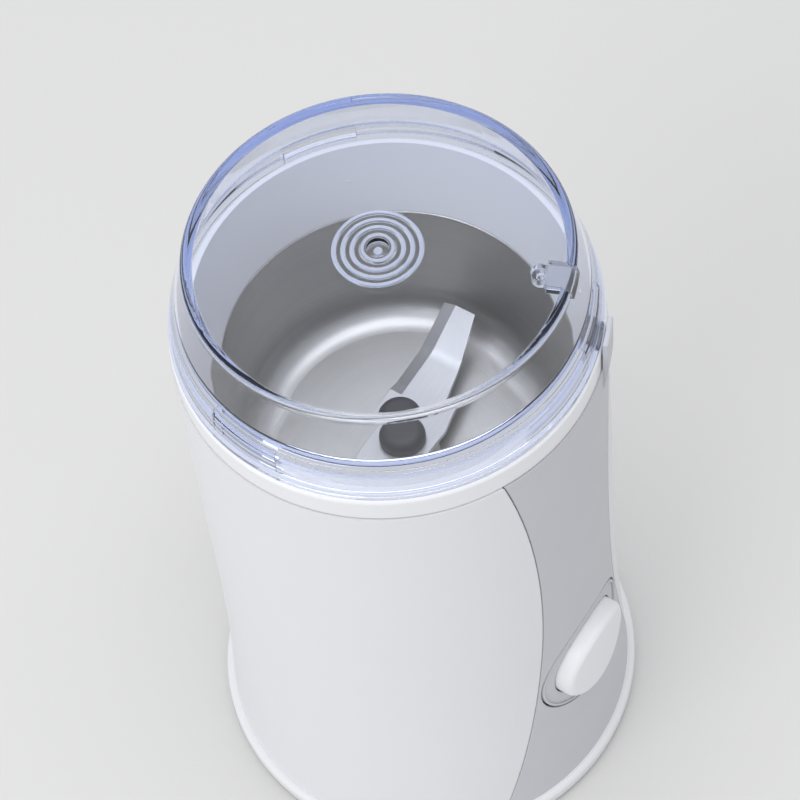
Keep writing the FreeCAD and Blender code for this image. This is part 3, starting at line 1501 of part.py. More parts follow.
def make_supply():
    floor = s("foot_proud") + s("base_plate")
    back = s("spigot_radius") - s("spigot_wall") - s("block_gap")
    half = s("block_half")
    block_top = floor + s("block_high")
    keep("terminal_block", box_body(
        "terminal_body", -half, half, back - s("block_deep"), back, floor, block_top,
        s("block_corner")))
    half = s("capacitor_half")
    rear = back - s("capacitor_step")
    keep("suppression_capacitor", box_body(
        "capacitor_body", -half, half, rear - s("capacitor_deep"), rear, block_top,
        block_top + s("capacitor_high"), s("capacitor_corner")))

    fuse = new_body("fuse_body")
    middle = (s("core_low_z") + s("core_top_z")) / 2.0
    radius = s("fuse_radius")
    lead = s("fuse_lead")
    half = s("fuse_half")
    end = s("fuse_lead_half")
    profile = new_sketch(fuse, "XZ_Plane", shift=s("stator_half_y") + radius + s("close_gap"), up=middle)
    outline(profile, [
        (-end, 0.0), (-end, lead), (-half, lead), (-half, radius), (half, radius), (half, lead), (end, lead),
        (end, 0.0),
    ])
    revolve(fuse, profile, "H_Axis")
    keep("thermal_fuse", fuse)

    gland = new_body("gland_body")
    profile = new_sketch(gland, "YZ_Plane", up=s("inlet_z"))
    bore = s("gland_bore")
    neck = s("inlet_hole") - s("close_gap")
    flange = s("gland_flange")
    edge = s("gland_edge")
    less = s("gland_inner_less")
    seat = s("low_radius") - s("gland_stand_off")
    end = seat + s("gland_lip")
    inside = s("low_radius") - s("tube_wall") - s("gland_inner_gap")
    tail = inside - s("gland_lip")
    outline(profile, [
        (tail, bore), (end, bore), (end, flange - edge), (end - edge, flange), (seat, flange),
        (seat, neck), (inside, neck), (inside, flange - less), (tail, flange - less),
    ])
    revolve(gland, profile, "H_Axis")
    keep("cord_gland", gland)


# Clear lid

def make_lid():
    top = s("lid_top_z")
    roof = top - s("lid_roof")
    ridge = s("ridge_height")
    half = s("ridge_half")
    pit = s("pit_radius")
    rim = s("pit_rim")
    pit_floor = top - s("pit_depth")
    points = [
        (0.0, pit_floor + s("nub_height")), (s("nub_radius"), pit_floor + s("nub_height")),
        (s("nub_radius"), pit_floor), (pit, pit_floor), (pit, top + ridge), (pit + rim, top + ridge),
        (pit + rim + s("pit_slope"), top),
    ]
    for i in (2.0, 1.0, 0.0):
        middle = s("ridge_first") - s("ridge_step") * i
        points += [(middle - half, top), (middle - half / 2.0, top + ridge),
                   (middle + half / 2.0, top + ridge), (middle + half, top)]
    bend = s("lid_corner_bend")
    low = s("lid_low_z")
    bead = s("lid_bead_radius")
    edge = s("lid_foot_edge")
    skirt = s("lid_inner_skirt")
    points += [
        (s("lid_corner_radius") - bend, top, -bend), (s("lid_corner_radius"), top - bend),
        (s("lid_mid_radius"), s("lid_upper_step_z") + s("lid_step_slope")),
        (s("lid_shoulder_radius"), s("lid_lower_step_z") - s("lid_shoulder_drop")),
        (s("lid_band_radius"), s("lid_bead_z") + s("lid_bead_slope")), (bead, s("lid_bead_z")),
        (bead, low + edge, -edge), (bead - edge, low), (skirt, low),
        (skirt, s("lid_lower_step_z")), (s("lid_inner_middle"), s("lid_lower_step_z")),
        (s("lid_inner_middle"), s("lid_upper_step_z")), (s("lid_inner_upper"), s("lid_upper_step_z")),
        (s("lid_inner_corner"), roof), (0.0, roof),
    ]
    shell = turned("lid_shell", points)

    lug_in = skirt - s("lug_reach")
    lug_out = skirt + s("lug_lap")
    lug_top = s("lid_lower_step_z") + s("join")
    band = turned("lug_ring", [
        (lug_in, s("lug_low_z")), (lug_out, s("lug_low_z")), (lug_out, lug_top), (lug_in, lug_top),
    ])
    reach = math.radians(SIZES["lug_degrees"] / 2)
    wide = skirt * math.sin(reach)
    over = s("cut_over")
    bars = []
    for i in range(3):
        turn = s("side_degrees") + 120.0 * i
        bars.append(box_body("lug_bar", -wide, wide, -(lug_out + over), -(lug_in - over) * math.cos(reach),
                             s("lug_low_z") - over, lug_top + over, turn=turn))
    lugs = boolean("MultiCommon", "lugs", band, boolean("MultiFuse", "lug_bars", *bars))

    side = s("side_degrees")
    foot = box_body("foot", -s("foot_half"), s("foot_half"), -s("foot_outer"), -s("foot_inner"),
                    s("foot_low_z"), s("lug_low_z") + s("foot_root"), turn=side)
    key_end = s("lid_inner_corner") + s("key_root")
    key = new_body("key_body")
    wing = new_sketch(key, "XY_Plane", shift=roof + s("key_lap"), turn=side)
    rectangle(wing, -s("key_width") / 2.0, s("key_width") / 2.0, -key_end, -s("key_inner"))
    pad(key, wing, s("key_depth") + s("key_lap"), back=True)
    nose = new_sketch(key, "XY_Plane", shift=roof + s("key_lap"), turn=side)
    circle(nose, 0.0, -s("key_nose_centre"), s("key_nose"))
    pad(key, nose, s("key_depth") + s("key_lap"), back=True)
    hollow = new_sketch(key, "XY_Plane", shift=roof - s("key_depth"), turn=side)
    circle(hollow, 0.0, -s("key_nose_centre"), s("key_hole"))
    pocket(key, hollow, s("key_depth") - s("key_skin"), back=True)
    keep("lid", boolean("MultiFuse", "lid_whole", shell, lugs, foot, key))


# Interlock that the lid's foot pushes down

def turned_place(x, y, z):
    """Placement in the frame that is turned to the interlock's side."""
    rotation = FreeCAD.Rotation(FreeCAD.Vector(0, 0, 1), SIZES["side_degrees"])
    return FreeCAD.Placement(rotation.multVec(FreeCAD.Vector(x, y, z)), rotation)


def make_interlock():
    side = s("side_degrees")
    inner = s("slider_inner")
    outer = s("slider_outer")
    half = s("slider_half")
    foot = s("slider_foot_z")
    rod = box_body("slider_rod", -half, half, -outer, -inner, foot, s("slider_top_z"), turn=side)
    head = new_sketch(rod, "XY_Plane", shift=s("slider_head_low_z"), turn=side)
    rectangle(head, -half, half, -s("slider_head_outer"), -inner)
    pad(rod, head, s("slider_top_z") - s("slider_head_low_z"))
    plate = new_sketch(rod, "XY_Plane", shift=foot, turn=side)
    wide = s("slider_foot_half")
    rectangle(plate, -wide, wide, -outer, -s("slider_foot_inner"))
    pad(rod, plate, s("slider_foot_thick"))
    keep("interlock_slider", rod)

    floor = s("guide_floor_z")
    wide = s("guide_half")
    back = s("guide_inner")
    line = s("spring_radius")
    guide = box_body("guide", -wide, wide, -s("guide_outer"), -back, s("guide_low_z"), floor, turn=side)
    wall = new_sketch(guide, "XY_Plane", shift=floor - s("join"), turn=side)
    rectangle(wall, -wide, wide, -(back + s("guide_wall")), -back)
    pad(guide, wall, s("guide_wall_height"))
    peg = new_sketch(guide, "XY_Plane", shift=floor - s("join"), turn=side)
    circle(peg, -s("spring_across"), -line, s("guide_peg"))
    pad(guide, peg, s("guide_peg_height"))
    keep("interlock_guide", guide)

    gap = s("slip_gap")
    spring = coil("interlock_spring_body", s("interlock_coil"), s("thin_wire"), foot - floor - gap * 2.0, 5)
    spring.Placement = turned_place(-SIZES["spring_across"], -line.value, (floor + gap).value)
    keep("interlock_spring", spring)

    near = s("safety_near")
    far = near + s("safety_long")
    block = box_body("safety_block", near, far, -s("safety_outer"), -s("slider_foot_inner"), floor,
                     s("safety_top_z"), turn=side)
    middle = (near + far) / 2.0
    depth = (s("safety_outer") + s("slider_foot_inner")) / 2.0
    radius = s("safety_pin")
    bore = new_sketch(block, "XY_Plane", shift=s("safety_top_z"), turn=side)
    circle(bore, middle, -depth, radius + s("close_gap"))
    pocket(block, bore, s("safety_pin_inside") + s("safety_pin_room"))
    keep("safety_switch", block)
    pin = new_body("safety_pin_body")
    disc = new_sketch(pin, "XY_Plane", shift=s("safety_tail_z"), turn=side)
    circle(disc, middle, -depth, radius)
    pad(pin, disc, s("safety_tip_z") - s("safety_tail_z"))
    keep("safety_plunger", pin)


make_base()
make_panel()
make_housing()
make_button()
make_switch()
make_collar()
make_bowl()
make_blade()
make_rotor()
make_stator()
make_mounts()
make_brushes()
make_supply()
make_lid()
make_interlock()

document.recompute()
for thing in document.Objects:
    if "Invalid" in thing.State or "Error" in thing.State:
        raise RuntimeError(thing.Name + " is in state " + str(thing.State))
os.makedirs("parts", exist_ok=True)
for name, thing in nodes.items():
    shape = thing.Shape
    if shape.isNull() or not shape.isValid():
        raise RuntimeError(name + " has no valid shape")
    shape.exportStep("parts/" + name + ".step")
    box = shape.BoundBox
    print("%-22s %2d solid %9.1f mm3  z %6.1f to %6.1f" % (
        name, len(shape.Solids), shape.Volume, box.ZMin, box.ZMax))
print(len(nodes), "pieces")
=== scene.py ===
# %% [markdown]
# # A blade grinder with a clear lid
# This file dresses a finished construction model of a small kitchen grinder: it gives every piece
# its finish, models the three pieces whose looks need more than the construction holds, and sets
# up the studio. The construction is loaded as a fixed frame in metres, with the table at Z = 0 and
# the push button facing -Y, and nothing in it is moved or resized.

# %% Load the frame
import json
import math

import bpy
from mathutils import Matrix, Vector


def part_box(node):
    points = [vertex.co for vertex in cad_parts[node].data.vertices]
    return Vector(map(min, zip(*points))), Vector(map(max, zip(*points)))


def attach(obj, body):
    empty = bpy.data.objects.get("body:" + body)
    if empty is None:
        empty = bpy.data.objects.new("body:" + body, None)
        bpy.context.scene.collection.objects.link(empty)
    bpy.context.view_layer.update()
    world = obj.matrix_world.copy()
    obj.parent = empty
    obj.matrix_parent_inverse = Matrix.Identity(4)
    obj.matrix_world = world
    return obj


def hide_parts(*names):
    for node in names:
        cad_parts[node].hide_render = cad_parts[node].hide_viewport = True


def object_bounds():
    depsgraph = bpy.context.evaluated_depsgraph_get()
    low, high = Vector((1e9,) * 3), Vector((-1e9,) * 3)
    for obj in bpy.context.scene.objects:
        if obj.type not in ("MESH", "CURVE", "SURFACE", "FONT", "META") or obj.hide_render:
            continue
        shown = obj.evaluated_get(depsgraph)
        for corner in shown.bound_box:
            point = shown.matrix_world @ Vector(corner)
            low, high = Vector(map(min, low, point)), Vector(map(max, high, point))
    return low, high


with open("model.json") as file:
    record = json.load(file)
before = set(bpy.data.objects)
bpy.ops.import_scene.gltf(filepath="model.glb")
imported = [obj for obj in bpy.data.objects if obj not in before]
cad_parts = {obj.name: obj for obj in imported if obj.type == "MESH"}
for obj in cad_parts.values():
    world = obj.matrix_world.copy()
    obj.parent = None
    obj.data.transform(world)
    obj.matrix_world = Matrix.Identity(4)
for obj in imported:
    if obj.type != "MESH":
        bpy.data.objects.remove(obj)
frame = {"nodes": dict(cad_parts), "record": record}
cad_low, cad_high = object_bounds()
nodes = frame["nodes"]
print("pieces in the frame:", len(nodes))

# %% [markdown]
# ## Lengths
# Blender works in metres here, and a maker thinks in millimetres. One helper turns millimetres into
# metres and one turns them back for printing.

# %% Lengths
metres_per_mm = 0.001


def mm(length):
    """A length in millimetres, as the frame's metres."""
    return length * metres_per_mm


def in_mm(length):
    """A length in metres, as millimetres to print."""
    return round(length / metres_per_mm, 2)


machine_height = cad_high.z - cad_low.z
print("height in millimetres:", in_mm(machine_height))

# %% [markdown]
# ## Writing a finish as an expression
# A node tree is hard to read when every wire is made by hand. `Wire` is an output of a node that
# understands plus, minus, times, divide and power, so that shader maths reads like school maths.
# `Finish` is a material under construction, and its one method `add` places any other node: it
# takes the node's type, its settings, and the values or wires of its inputs.

# %% Wires and finishes
class Wire:
    """An output of a node, usable in Python expressions."""

    def __init__(self, finish, socket):
        self.finish = finish
        self.socket = socket

    def maths(self, operation, first, second):
        return self.finish.maths(operation, first, second)

    def __add__(self, other):
        return self.maths("ADD", self, other)

    def __radd__(self, other):
        return self.maths("ADD", other, self)

    def __sub__(self, other):
        return self.maths("SUBTRACT", self, other)

    def __rsub__(self, other):
        return self.maths("SUBTRACT", other, self)

    def __mul__(self, other):
        return self.maths("MULTIPLY", self, other)

    def __rmul__(self, other):
        return self.maths("MULTIPLY", other, self)

    def __truediv__(self, other):
        return self.maths("DIVIDE", self, other)

    def __pow__(self, other):
        return self.maths("POWER", self, other)

    def over(self, limit):
        """1 where the value is above the limit, 0 elsewhere."""
        return self.maths("GREATER_THAN", self, limit)


# numbers of the colour sockets of a Mix node
mix_share, mix_first, mix_second, mix_result = 0, 6, 7, 2


class Finish:
    """A material whose nodes are added one by one."""

    def __init__(self, name):
        self.material = bpy.data.materials.new(name)
        self.material.use_nodes = True
        self.tree = self.material.node_tree
        self.tree.nodes.clear()
        self.output = self.tree.nodes.new("ShaderNodeOutputMaterial")
        self.place = self.add("ShaderNodeTexCoord", output="Object")

    def add(self, kind, settings=None, inputs=None, output=0):
        """Place a node: settings first, then its inputs, and give back one of its outputs."""
        node = self.tree.nodes.new(kind)
        for field, value in (settings or {}).items():
            setattr(node, field, value)
        for socket, value in (inputs or {}).items():
            self.plug(node.inputs[socket], value)
        return Wire(self, node.outputs[output])

    def plug(self, socket, value):
        """Set an input to a wire, a colour or a number."""
        if isinstance(value, Wire):
            self.tree.links.new(value.socket, socket)
        elif socket.type == "RGBA" and len(value) == 3:
            socket.default_value = (*value, 1.0)
        else:
            socket.default_value = value

    def maths(self, operation, first, second):
        return self.add("ShaderNodeMath", {"operation": operation}, {0: first, 1: second})

    def noise(self, scale, detail=2.0, roughness=0.5, place=None):
        """Soft random value near 0.5; scale is how many features fit in one metre."""
        return self.add("ShaderNodeTexNoise", {"noise_dimensions": "3D"}, {
            "Vector": place or self.place, "Scale": scale, "Detail": detail, "Roughness": roughness})

    def blend(self, share, first, second):
        """Colour between two colours."""
        return self.add(
            "ShaderNodeMix", {"data_type": "RGBA"},
            {mix_share: share, mix_first: first, mix_second: second}, mix_result)

    def along(self, axis):
        """How far a point lies along "X", "Y" or "Z"."""
        return self.add("ShaderNodeSeparateXYZ", None, {0: self.place}, axis)

    def radius(self):
        """How far a point lies from the machine's axis."""
        x = self.along("X")
        y = self.along("Y")
        return (x * x + y * y) ** 0.5

    def vector(self, x, y, z):
        """Three wires joined to one."""
        return self.add("ShaderNodeCombineXYZ", None, {0: x, 1: y, 2: z})

    def relief(self, height_map, depth, edge=None):
        """Normal with small relief; edge is the radius that sharp corners seem to have."""
        inputs = {"Height": height_map, "Distance": depth, "Strength": 1.0}
        if edge:
            inputs["Normal"] = self.add("ShaderNodeBevel", {"samples": 6}, {"Radius": edge})
        return self.add("ShaderNodeBump", None, inputs)

    def saw(self, value, period):
        """0 at the start and end of each period, 1 in its middle."""
        half = period / 2
        return self.maths("PINGPONG", value, half) / half

    def surface(self, inputs):
        """The finished material, with one main shader."""
        self.plug(self.output.inputs["Surface"], self.add("ShaderNodeBsdfPrincipled", None, inputs))
        return self.material


def swing(noise, reach):
    """A noise turned into a change that goes both ways by half of the reach."""
    return (noise - 0.5) * reach


finishes = {}
print("methods of a wire:", [name for name, entry in vars(Wire).items() if callable(entry)])

# %% [markdown]
# ## White moulded plastic
# The tube, the ring under the lid and the base are glossy white plastic. Straight from a polished
# mould it is not quite flat: the surface ripples very slightly as it cools, and handling leaves it
# a little duller in places. Two soft noises give the ripple and the dullness. The colour is a cool
# white, a trace towards violet, and the corners get a small radius as every moulding has.
#
# Roughness stays above 0.28 everywhere on one piece. Near 0.27 the picture cleaner treats a surface
# as a mirror on one side of the value and as matte on the other, and would draw that limit as a
# faint outline across the white.

# %% White plastic
broad_per_metre = 30.0
patches_per_metre = 140.0
ripples_per_metre = 90.0
ripple_depth = mm(0.02)
moulded_edge = mm(0.25)


def moulded_gloss(name, colour, shade, roughness):
    finish = Finish(name)
    broad = finish.noise(broad_per_metre)
    patchy = finish.noise(patches_per_metre)
    return finish.surface({
        "Base Color": finish.blend(broad * 0.5 + patchy * 0.2, colour, shade),
        "Roughness": roughness + swing(broad, 0.06) + swing(patchy, 0.04),
        "IOR": 1.5,
        "Normal": finish.relief(finish.noise(ripples_per_metre, 1.0), ripple_depth, edge=moulded_edge),
    })


finishes["white_plastic"] = moulded_gloss(
    "white_plastic", colour=(0.85, 0.853, 0.872), shade=(0.82, 0.824, 0.845), roughness=0.33)
# A darker copy of the same white for the tube and the base: painted shade in their colour.
finishes["tube_plastic_painted_shade"] = moulded_gloss(
    "tube_plastic_painted_shade", colour=(0.795, 0.80, 0.82), shade=(0.765, 0.77, 0.792), roughness=0.33)
finishes["button_plastic"] = moulded_gloss(
    "button_plastic", colour=(0.86, 0.863, 0.885), shade=(0.83, 0.834, 0.858), roughness=0.34)
print("white finishes:", sorted(finishes))

# %% [markdown]
# ## Grey satin plastic
# The front panel comes from a mould with an etched, spark-eroded face. Up close it is a field of
# tiny rounded pits about a fifth of a millimetre across, which scatter the light and make the
# panel look matte. A cell pattern gives the pits and a noise breaks up their evenness. The black,
# the natural and the rubber pieces inside and underneath share the recipe with other pits.

# %% Grey plastic
def etched_satin(name, colour, shade, roughness, pit, depth):
    finish = Finish(name)
    cells = finish.add(
        "ShaderNodeTexVoronoi", {"feature": "F1"}, {"Vector": finish.place, "Scale": 1 / pit})
    patchy = finish.noise(60.0, 4.0)
    return finish.surface({
        "Base Color": finish.blend(patchy * 0.5 + cells * 0.35, colour, shade),
        "Roughness": roughness + swing(patchy, 0.12),
        "IOR": 1.48,
        "Normal": finish.relief(cells, depth, edge=mm(0.2)),
    })


satin_recipes = {
    "grey_plastic": dict(
        colour=(0.60, 0.605, 0.635), shade=(0.55, 0.555, 0.585), roughness=0.46,
        pit=mm(0.22), depth=mm(0.006)),
    "dark_plastic": dict(
        colour=(0.035, 0.035, 0.038), shade=(0.02, 0.02, 0.022), roughness=0.5,
        pit=mm(0.25), depth=mm(0.01)),
    "natural_plastic": dict(
        colour=(0.62, 0.59, 0.50), shade=(0.52, 0.49, 0.41), roughness=0.42,
        pit=mm(0.3), depth=mm(0.01)),
    "rubber": dict(
        colour=(0.045, 0.045, 0.047), shade=(0.03, 0.03, 0.032), roughness=0.78,
        pit=mm(0.15), depth=mm(0.012)),
}
for name, recipe in satin_recipes.items():
    finishes[name] = etched_satin(name, **recipe)
print("satin finishes:", sorted(satin_recipes))

# %% [markdown]
# ## Clear plastic of the lid
# Clear moulded plastic is almost without colour through a thin wall, and bluish where light runs
# far inside it, as along the thick corner of the crown. So the colour sits in the volume and not on
# the surface: the longer the way through the plastic, the more red and green are lost. A very weak
# ripple bends the highlights as flow marks do.
#
# Light that reaches the chamber through a bent clear wall is slow to compute and stays noisy. So
# rays that only ask whether a lamp is seen, and rays that gather soft light, pass straight through
# a Transparent shader, while the camera and the mirror rays meet the real, bending plastic.
#
# The rings on the crown look paler than the rest, because their rounded tops are finely matte and
# send the light of the room back. A mask by distance from the axis mixes a soft pale shader in
# there: the distance to the nearest ring's middle comes from one Ping-Pong node.

# %% Mask of the rings on the crown
ring_middle = mm(8.7)
ring_step = mm(1.8)
ring_half = mm(0.5)
rings_from = mm(4.3)
rings_to = mm(9.4)
rim_middle = mm(3.05)
rim_half = mm(0.42)
dot_half = mm(0.95)
fade = mm(0.14)
top_skin = cad_high.z - mm(2.3)


def within(finish, distance, half):
    """1 inside a band, 0 outside, with a soft edge."""
    return finish.add("ShaderNodeClamp", None, {0: (half - distance) / fade, 1: 0.0, 2: 1.0})


def larger(finish, first, second):
    """The larger of two values."""
    return finish.maths("MAXIMUM", first, second)


def matte_rings(finish):
    """Mask of the rings, the rim of the pit and the dot in its middle, on top of the crown."""
    radius = finish.radius()
    to_ring = finish.maths("PINGPONG", radius - ring_middle, ring_step / 2)
    rings = within(finish, to_ring, ring_half) * radius.over(rings_from) * (1 - radius.over(rings_to))
    to_rim = larger(finish, radius - rim_middle, rim_middle - radius)
    rim = within(finish, to_rim, rim_half)
    dot = within(finish, radius, dot_half)
    return larger(finish, larger(finish, rings, rim), dot) * finish.along("Z").over(top_skin)


print("matte from the axis to", in_mm(rings_to), "mm, above", in_mm(top_skin), "mm")

# %% [markdown]
# The mask is the share of the pale shader, and never more than six tenths of it, so the rings stay
# a little clear. The blue is set once, as the colour and the strength of the volume.

# %% Clear plastic
haze_per_metre = 300.0
flow_per_metre = 40.0
flow_depth = mm(0.012)
most_pale = 0.6


def clear_moulding(name, volume_colour, volume_strength, roughness):
    finish = Finish(name)
    flow = finish.noise(flow_per_metre, 1.0)
    haze = finish.noise(haze_per_metre)
    glassy = finish.add("ShaderNodeBsdfPrincipled", None, {
        "Base Color": (1.0, 1.0, 1.0), "Roughness": roughness + haze * 0.006, "IOR": 1.5,
        "Transmission Weight": 1.0,
        "Normal": finish.relief(flow, flow_depth, edge=moulded_edge),
    })
    pale = finish.add("ShaderNodeBsdfDiffuse", None, {"Color": (0.60, 0.67, 0.86)})
    plastic = finish.add(
        "ShaderNodeMixShader", None, {0: matte_rings(finish) * most_pale, 1: glassy, 2: pale})
    open_way = finish.add("ShaderNodeBsdfTransparent", None, {"Color": (0.99, 0.99, 0.995)})
    lights_inside = larger(
        finish,
        finish.add("ShaderNodeLightPath", output="Is Shadow Ray"),
        finish.add("ShaderNodeLightPath", output="Is Diffuse Ray"))
    mixed = finish.add("ShaderNodeMixShader", None, {0: lights_inside, 1: plastic, 2: open_way})
    finish.plug(finish.output.inputs["Surface"], mixed)
    body = finish.add(
        "ShaderNodeVolumeAbsorption", None, {"Color": volume_colour, "Density": volume_strength})
    finish.plug(finish.output.inputs["Volume"], body)
    return finish.material


finishes["clear_plastic"] = clear_moulding(
    "clear_plastic", volume_colour=(0.13, 0.31, 0.76), volume_strength=46.0, roughness=0.004)
print("clear finish made of", len(finishes["clear_plastic"].node_tree.nodes), "nodes")

# %% [markdown]
# ## Spun and ground steel
# The bowl is drawn from sheet and polished while it turns, so its fine lines run round the axis.
# Noise that is read at (radius, height) instead of (x, y, z) has the same value all round, and
# gives exactly such rings. The blade is a strip ground lengthwise, so its lines run along X: the
# noise is read at places that are squeezed across the strip and stretched along it.

# %% Steel
fine_lines = 2600.0
wide_lines = 500.0


def spun_steel(name, colour, shade, roughness):
    finish = Finish(name)
    radius = finish.radius()
    height = finish.along("Z")
    drift = finish.noise(18.0)
    fine_place = finish.vector(radius * fine_lines, height * fine_lines, drift * 3.0)
    wide_place = finish.vector(radius * wide_lines, height * wide_lines, drift * 2.0)
    rings = finish.noise(1.0, 3.0, 0.7, fine_place)
    wide = finish.noise(1.0, 2.0, 0.5, wide_place)
    return finish.surface({
        "Base Color": finish.blend(rings * 0.6 + wide * 0.3, colour, shade), "Metallic": 1.0,
        "Roughness": roughness + swing(rings, 0.14),
        "Normal": finish.relief(rings * 0.7 + wide * 0.3, mm(0.006)),
    })


def ground_steel(name, colour, shade, roughness, lines_per_metre=(60.0, fine_lines, fine_lines)):
    finish = Finish(name)
    stretched = [finish.along(axis) * count for axis, count in zip("XYZ", lines_per_metre)]
    lines = finish.noise(1.0, 3.0, 0.7, finish.vector(*stretched))
    stain = finish.noise(90.0, 3.0)
    return finish.surface({
        "Base Color": finish.blend(lines * 0.5 + stain * 0.3, colour, shade), "Metallic": 1.0,
        "Roughness": roughness + swing(lines, 0.14) + stain * 0.06,
        "Normal": finish.relief(lines, mm(0.004), edge=mm(0.12)),
    })


finishes["bowl_steel"] = spun_steel(
    "bowl_steel", colour=(0.56, 0.55, 0.53), shade=(0.42, 0.41, 0.395), roughness=0.37)
finishes["blade_steel"] = ground_steel(
    "blade_steel", colour=(0.60, 0.60, 0.60), shade=(0.46, 0.46, 0.47), roughness=0.37)
finishes["shaft_steel"] = spun_steel(
    "shaft_steel", colour=(0.60, 0.60, 0.61), shade=(0.48, 0.48, 0.49), roughness=0.36)
finishes["fastener_steel"] = ground_steel(
    "fastener_steel", colour=(0.62, 0.62, 0.63), shade=(0.45, 0.45, 0.46), roughness=0.36,
    lines_per_metre=(900.0, 900.0, 2400.0))
finishes["spring_steel"] = ground_steel(
    "spring_steel", colour=(0.58, 0.58, 0.60), shade=(0.46, 0.46, 0.48), roughness=0.36,
    lines_per_metre=(1500.0, 1500.0, 1500.0))
print("steel finishes:", sorted(name for name in finishes if name.endswith("steel")))

# %% [markdown]
# ## The motor's own materials
# The stator and the rotor are stacks of half-millimetre sheets, so a saw-tooth in height draws
# their edges. The brackets are cast alloy, the bushes porous bronze, the brushes pressed carbon,
# and the windings are varnished wire whose turns show as fine parallel ridges, with painted shade
# in the creases between them.

# %% Motor materials
sheet_thickness = mm(0.5)
wire_thickness = mm(0.45)


def stacked_sheet(name, colour, shade):
    finish = Finish(name)
    layer = finish.saw(finish.along("Z"), sheet_thickness)
    oil = finish.noise(120.0, 4.0)
    return finish.surface({
        "Base Color": finish.blend(layer * 0.5 + oil * 0.5, shade, colour), "Metallic": 0.85,
        "Roughness": 0.42 + swing(oil, 0.3),
        "Normal": finish.relief(layer, mm(0.05)),
    })


def cast_metal(name, colour, shade, metallic, roughness, grain, depth):
    finish = Finish(name)
    lumps = finish.noise(grain, 5.0, 0.65)
    return finish.surface({
        "Base Color": finish.blend(lumps, colour, shade), "Metallic": metallic,
        "Roughness": roughness + swing(lumps, 0.25),
        "Normal": finish.relief(lumps, depth, edge=mm(0.3)),
    })


def wound_wire(name, colour, shade):
    finish = Finish(name)
    # The same ramp lifts the ridges and darkens the colour towards each wire's sides: painted shade in
    # the creases between the turns.
    ridges_and_crease_shade = finish.saw(finish.noise(300.0) * wire_thickness + finish.radius(), wire_thickness)
    varnish = finish.noise(80.0)
    return finish.surface({
        "Base Color": finish.blend(ridges_and_crease_shade * 0.8 + varnish * 0.2, shade, colour), "Metallic": 0.8,
        "Roughness": 0.34 + swing(varnish, 0.2),
        "Normal": finish.relief(ridges_and_crease_shade, mm(0.12)),
    })


finishes["lamination_steel"] = stacked_sheet(
    "lamination_steel", colour=(0.34, 0.34, 0.35), shade=(0.12, 0.12, 0.13))
cast_recipes = {
    "bracket_metal": dict(
        colour=(0.68, 0.68, 0.69), shade=(0.52, 0.52, 0.54), metallic=1.0, roughness=0.42,
        grain=1100.0, depth=mm(0.03)),
    "bronze": dict(
        colour=(0.66, 0.47, 0.25), shade=(0.42, 0.29, 0.15), metallic=1.0, roughness=0.4,
        grain=2600.0, depth=mm(0.03)),
    "carbon": dict(
        colour=(0.05, 0.05, 0.055), shade=(0.02, 0.02, 0.022), metallic=0.2, roughness=0.55,
        grain=2000.0, depth=mm(0.02)),
}
for name, recipe in cast_recipes.items():
    finishes[name] = cast_metal(name, **recipe)
finishes["copper_wire"] = wound_wire(
    "copper_wire", colour=(0.74, 0.33, 0.15), shade=(0.28, 0.10, 0.04))
print("finishes:", len(finishes))

# %% [markdown]
# ## Dress the pieces
# Every piece of the frame names the material slot it belongs to, so one loop gives each its finish.
# The tube and the base are the same white as the ring under the lid. In the photograph they look a
# shade darker, so those two get a darker copy of the white: painted shade in their colour.

# %% Give every piece its finish
slots = {part["node"]: part["material_slot"] for part in frame["record"]["subparts"]}
for name, piece in nodes.items():
    piece.data.materials.clear()
    piece.data.materials.append(finishes[slots[name]])
# painted shade: the tube and the base take the darker copy of the white
for name in ("housing", "base_cover"):
    nodes[name].data.materials[0] = finishes["tube_plastic_painted_shade"]
print("dressed:", len(nodes))

# %% [markdown]
# ## Working in edit mode
# Three pieces are modelled as by hand: a primitive is added, its faces or points are picked by
# their place, and an operator changes what is picked. A few helpers keep that short. `solid` adds
# a round bar or cone and writes its place into its mesh, `pick` selects faces by a test, `carve`
# applies a boolean with a second shape and throws that shape away, and `round_edges` finishes.

# %% Modelling helpers
def only(piece):
    """Make one piece the selected and active one."""
    bpy.ops.object.select_all(action="DESELECT")
    piece.select_set(True)
    bpy.context.view_layer.objects.active = piece


def settle(name):
    """Name the new object and write its place, turn and scale into its mesh."""
    piece = bpy.context.object
    piece.name = name
    bpy.ops.object.transform_apply(location=True, rotation=True, scale=True)
    return piece


def solid(name, low_radius, high_radius, start, end, sides=128):
    """A round bar or cone from one point to another."""
    bpy.ops.object.select_all(action="DESELECT")
    way = end - start
    bpy.ops.mesh.primitive_cone_add(
        vertices=sides, radius1=low_radius, radius2=high_radius, depth=way.length,
        location=(start + end) / 2, rotation=way.to_track_quat("Z", "Y").to_euler())
    return settle(name)


def pick(piece, test):
    """Enter edit mode with the faces selected whose centre and normal pass the test."""
    only(piece)
    bpy.ops.object.mode_set(mode="EDIT")
    bpy.ops.mesh.select_mode(type="FACE")
    bpy.ops.mesh.select_all(action="DESELECT")
    bpy.ops.object.mode_set(mode="OBJECT")
    for face in piece.data.polygons:
        face.select = test(face.center, face.normal)
    bpy.ops.object.mode_set(mode="EDIT")


def leave():
    """Back to object mode."""
    bpy.ops.object.mode_set(mode="OBJECT")


def carve(piece, tool, operation):
    """Cut, join or keep the common part of a piece and a tool shape, which is then deleted."""
    only(piece)
    cutter = piece.modifiers.new(operation.lower(), "BOOLEAN")
    cutter.operation = operation
    cutter.object = tool
    cutter.solver = "EXACT"
    bpy.ops.object.modifier_apply(modifier=cutter.name)
    bpy.data.objects.remove(tool, do_unlink=True)


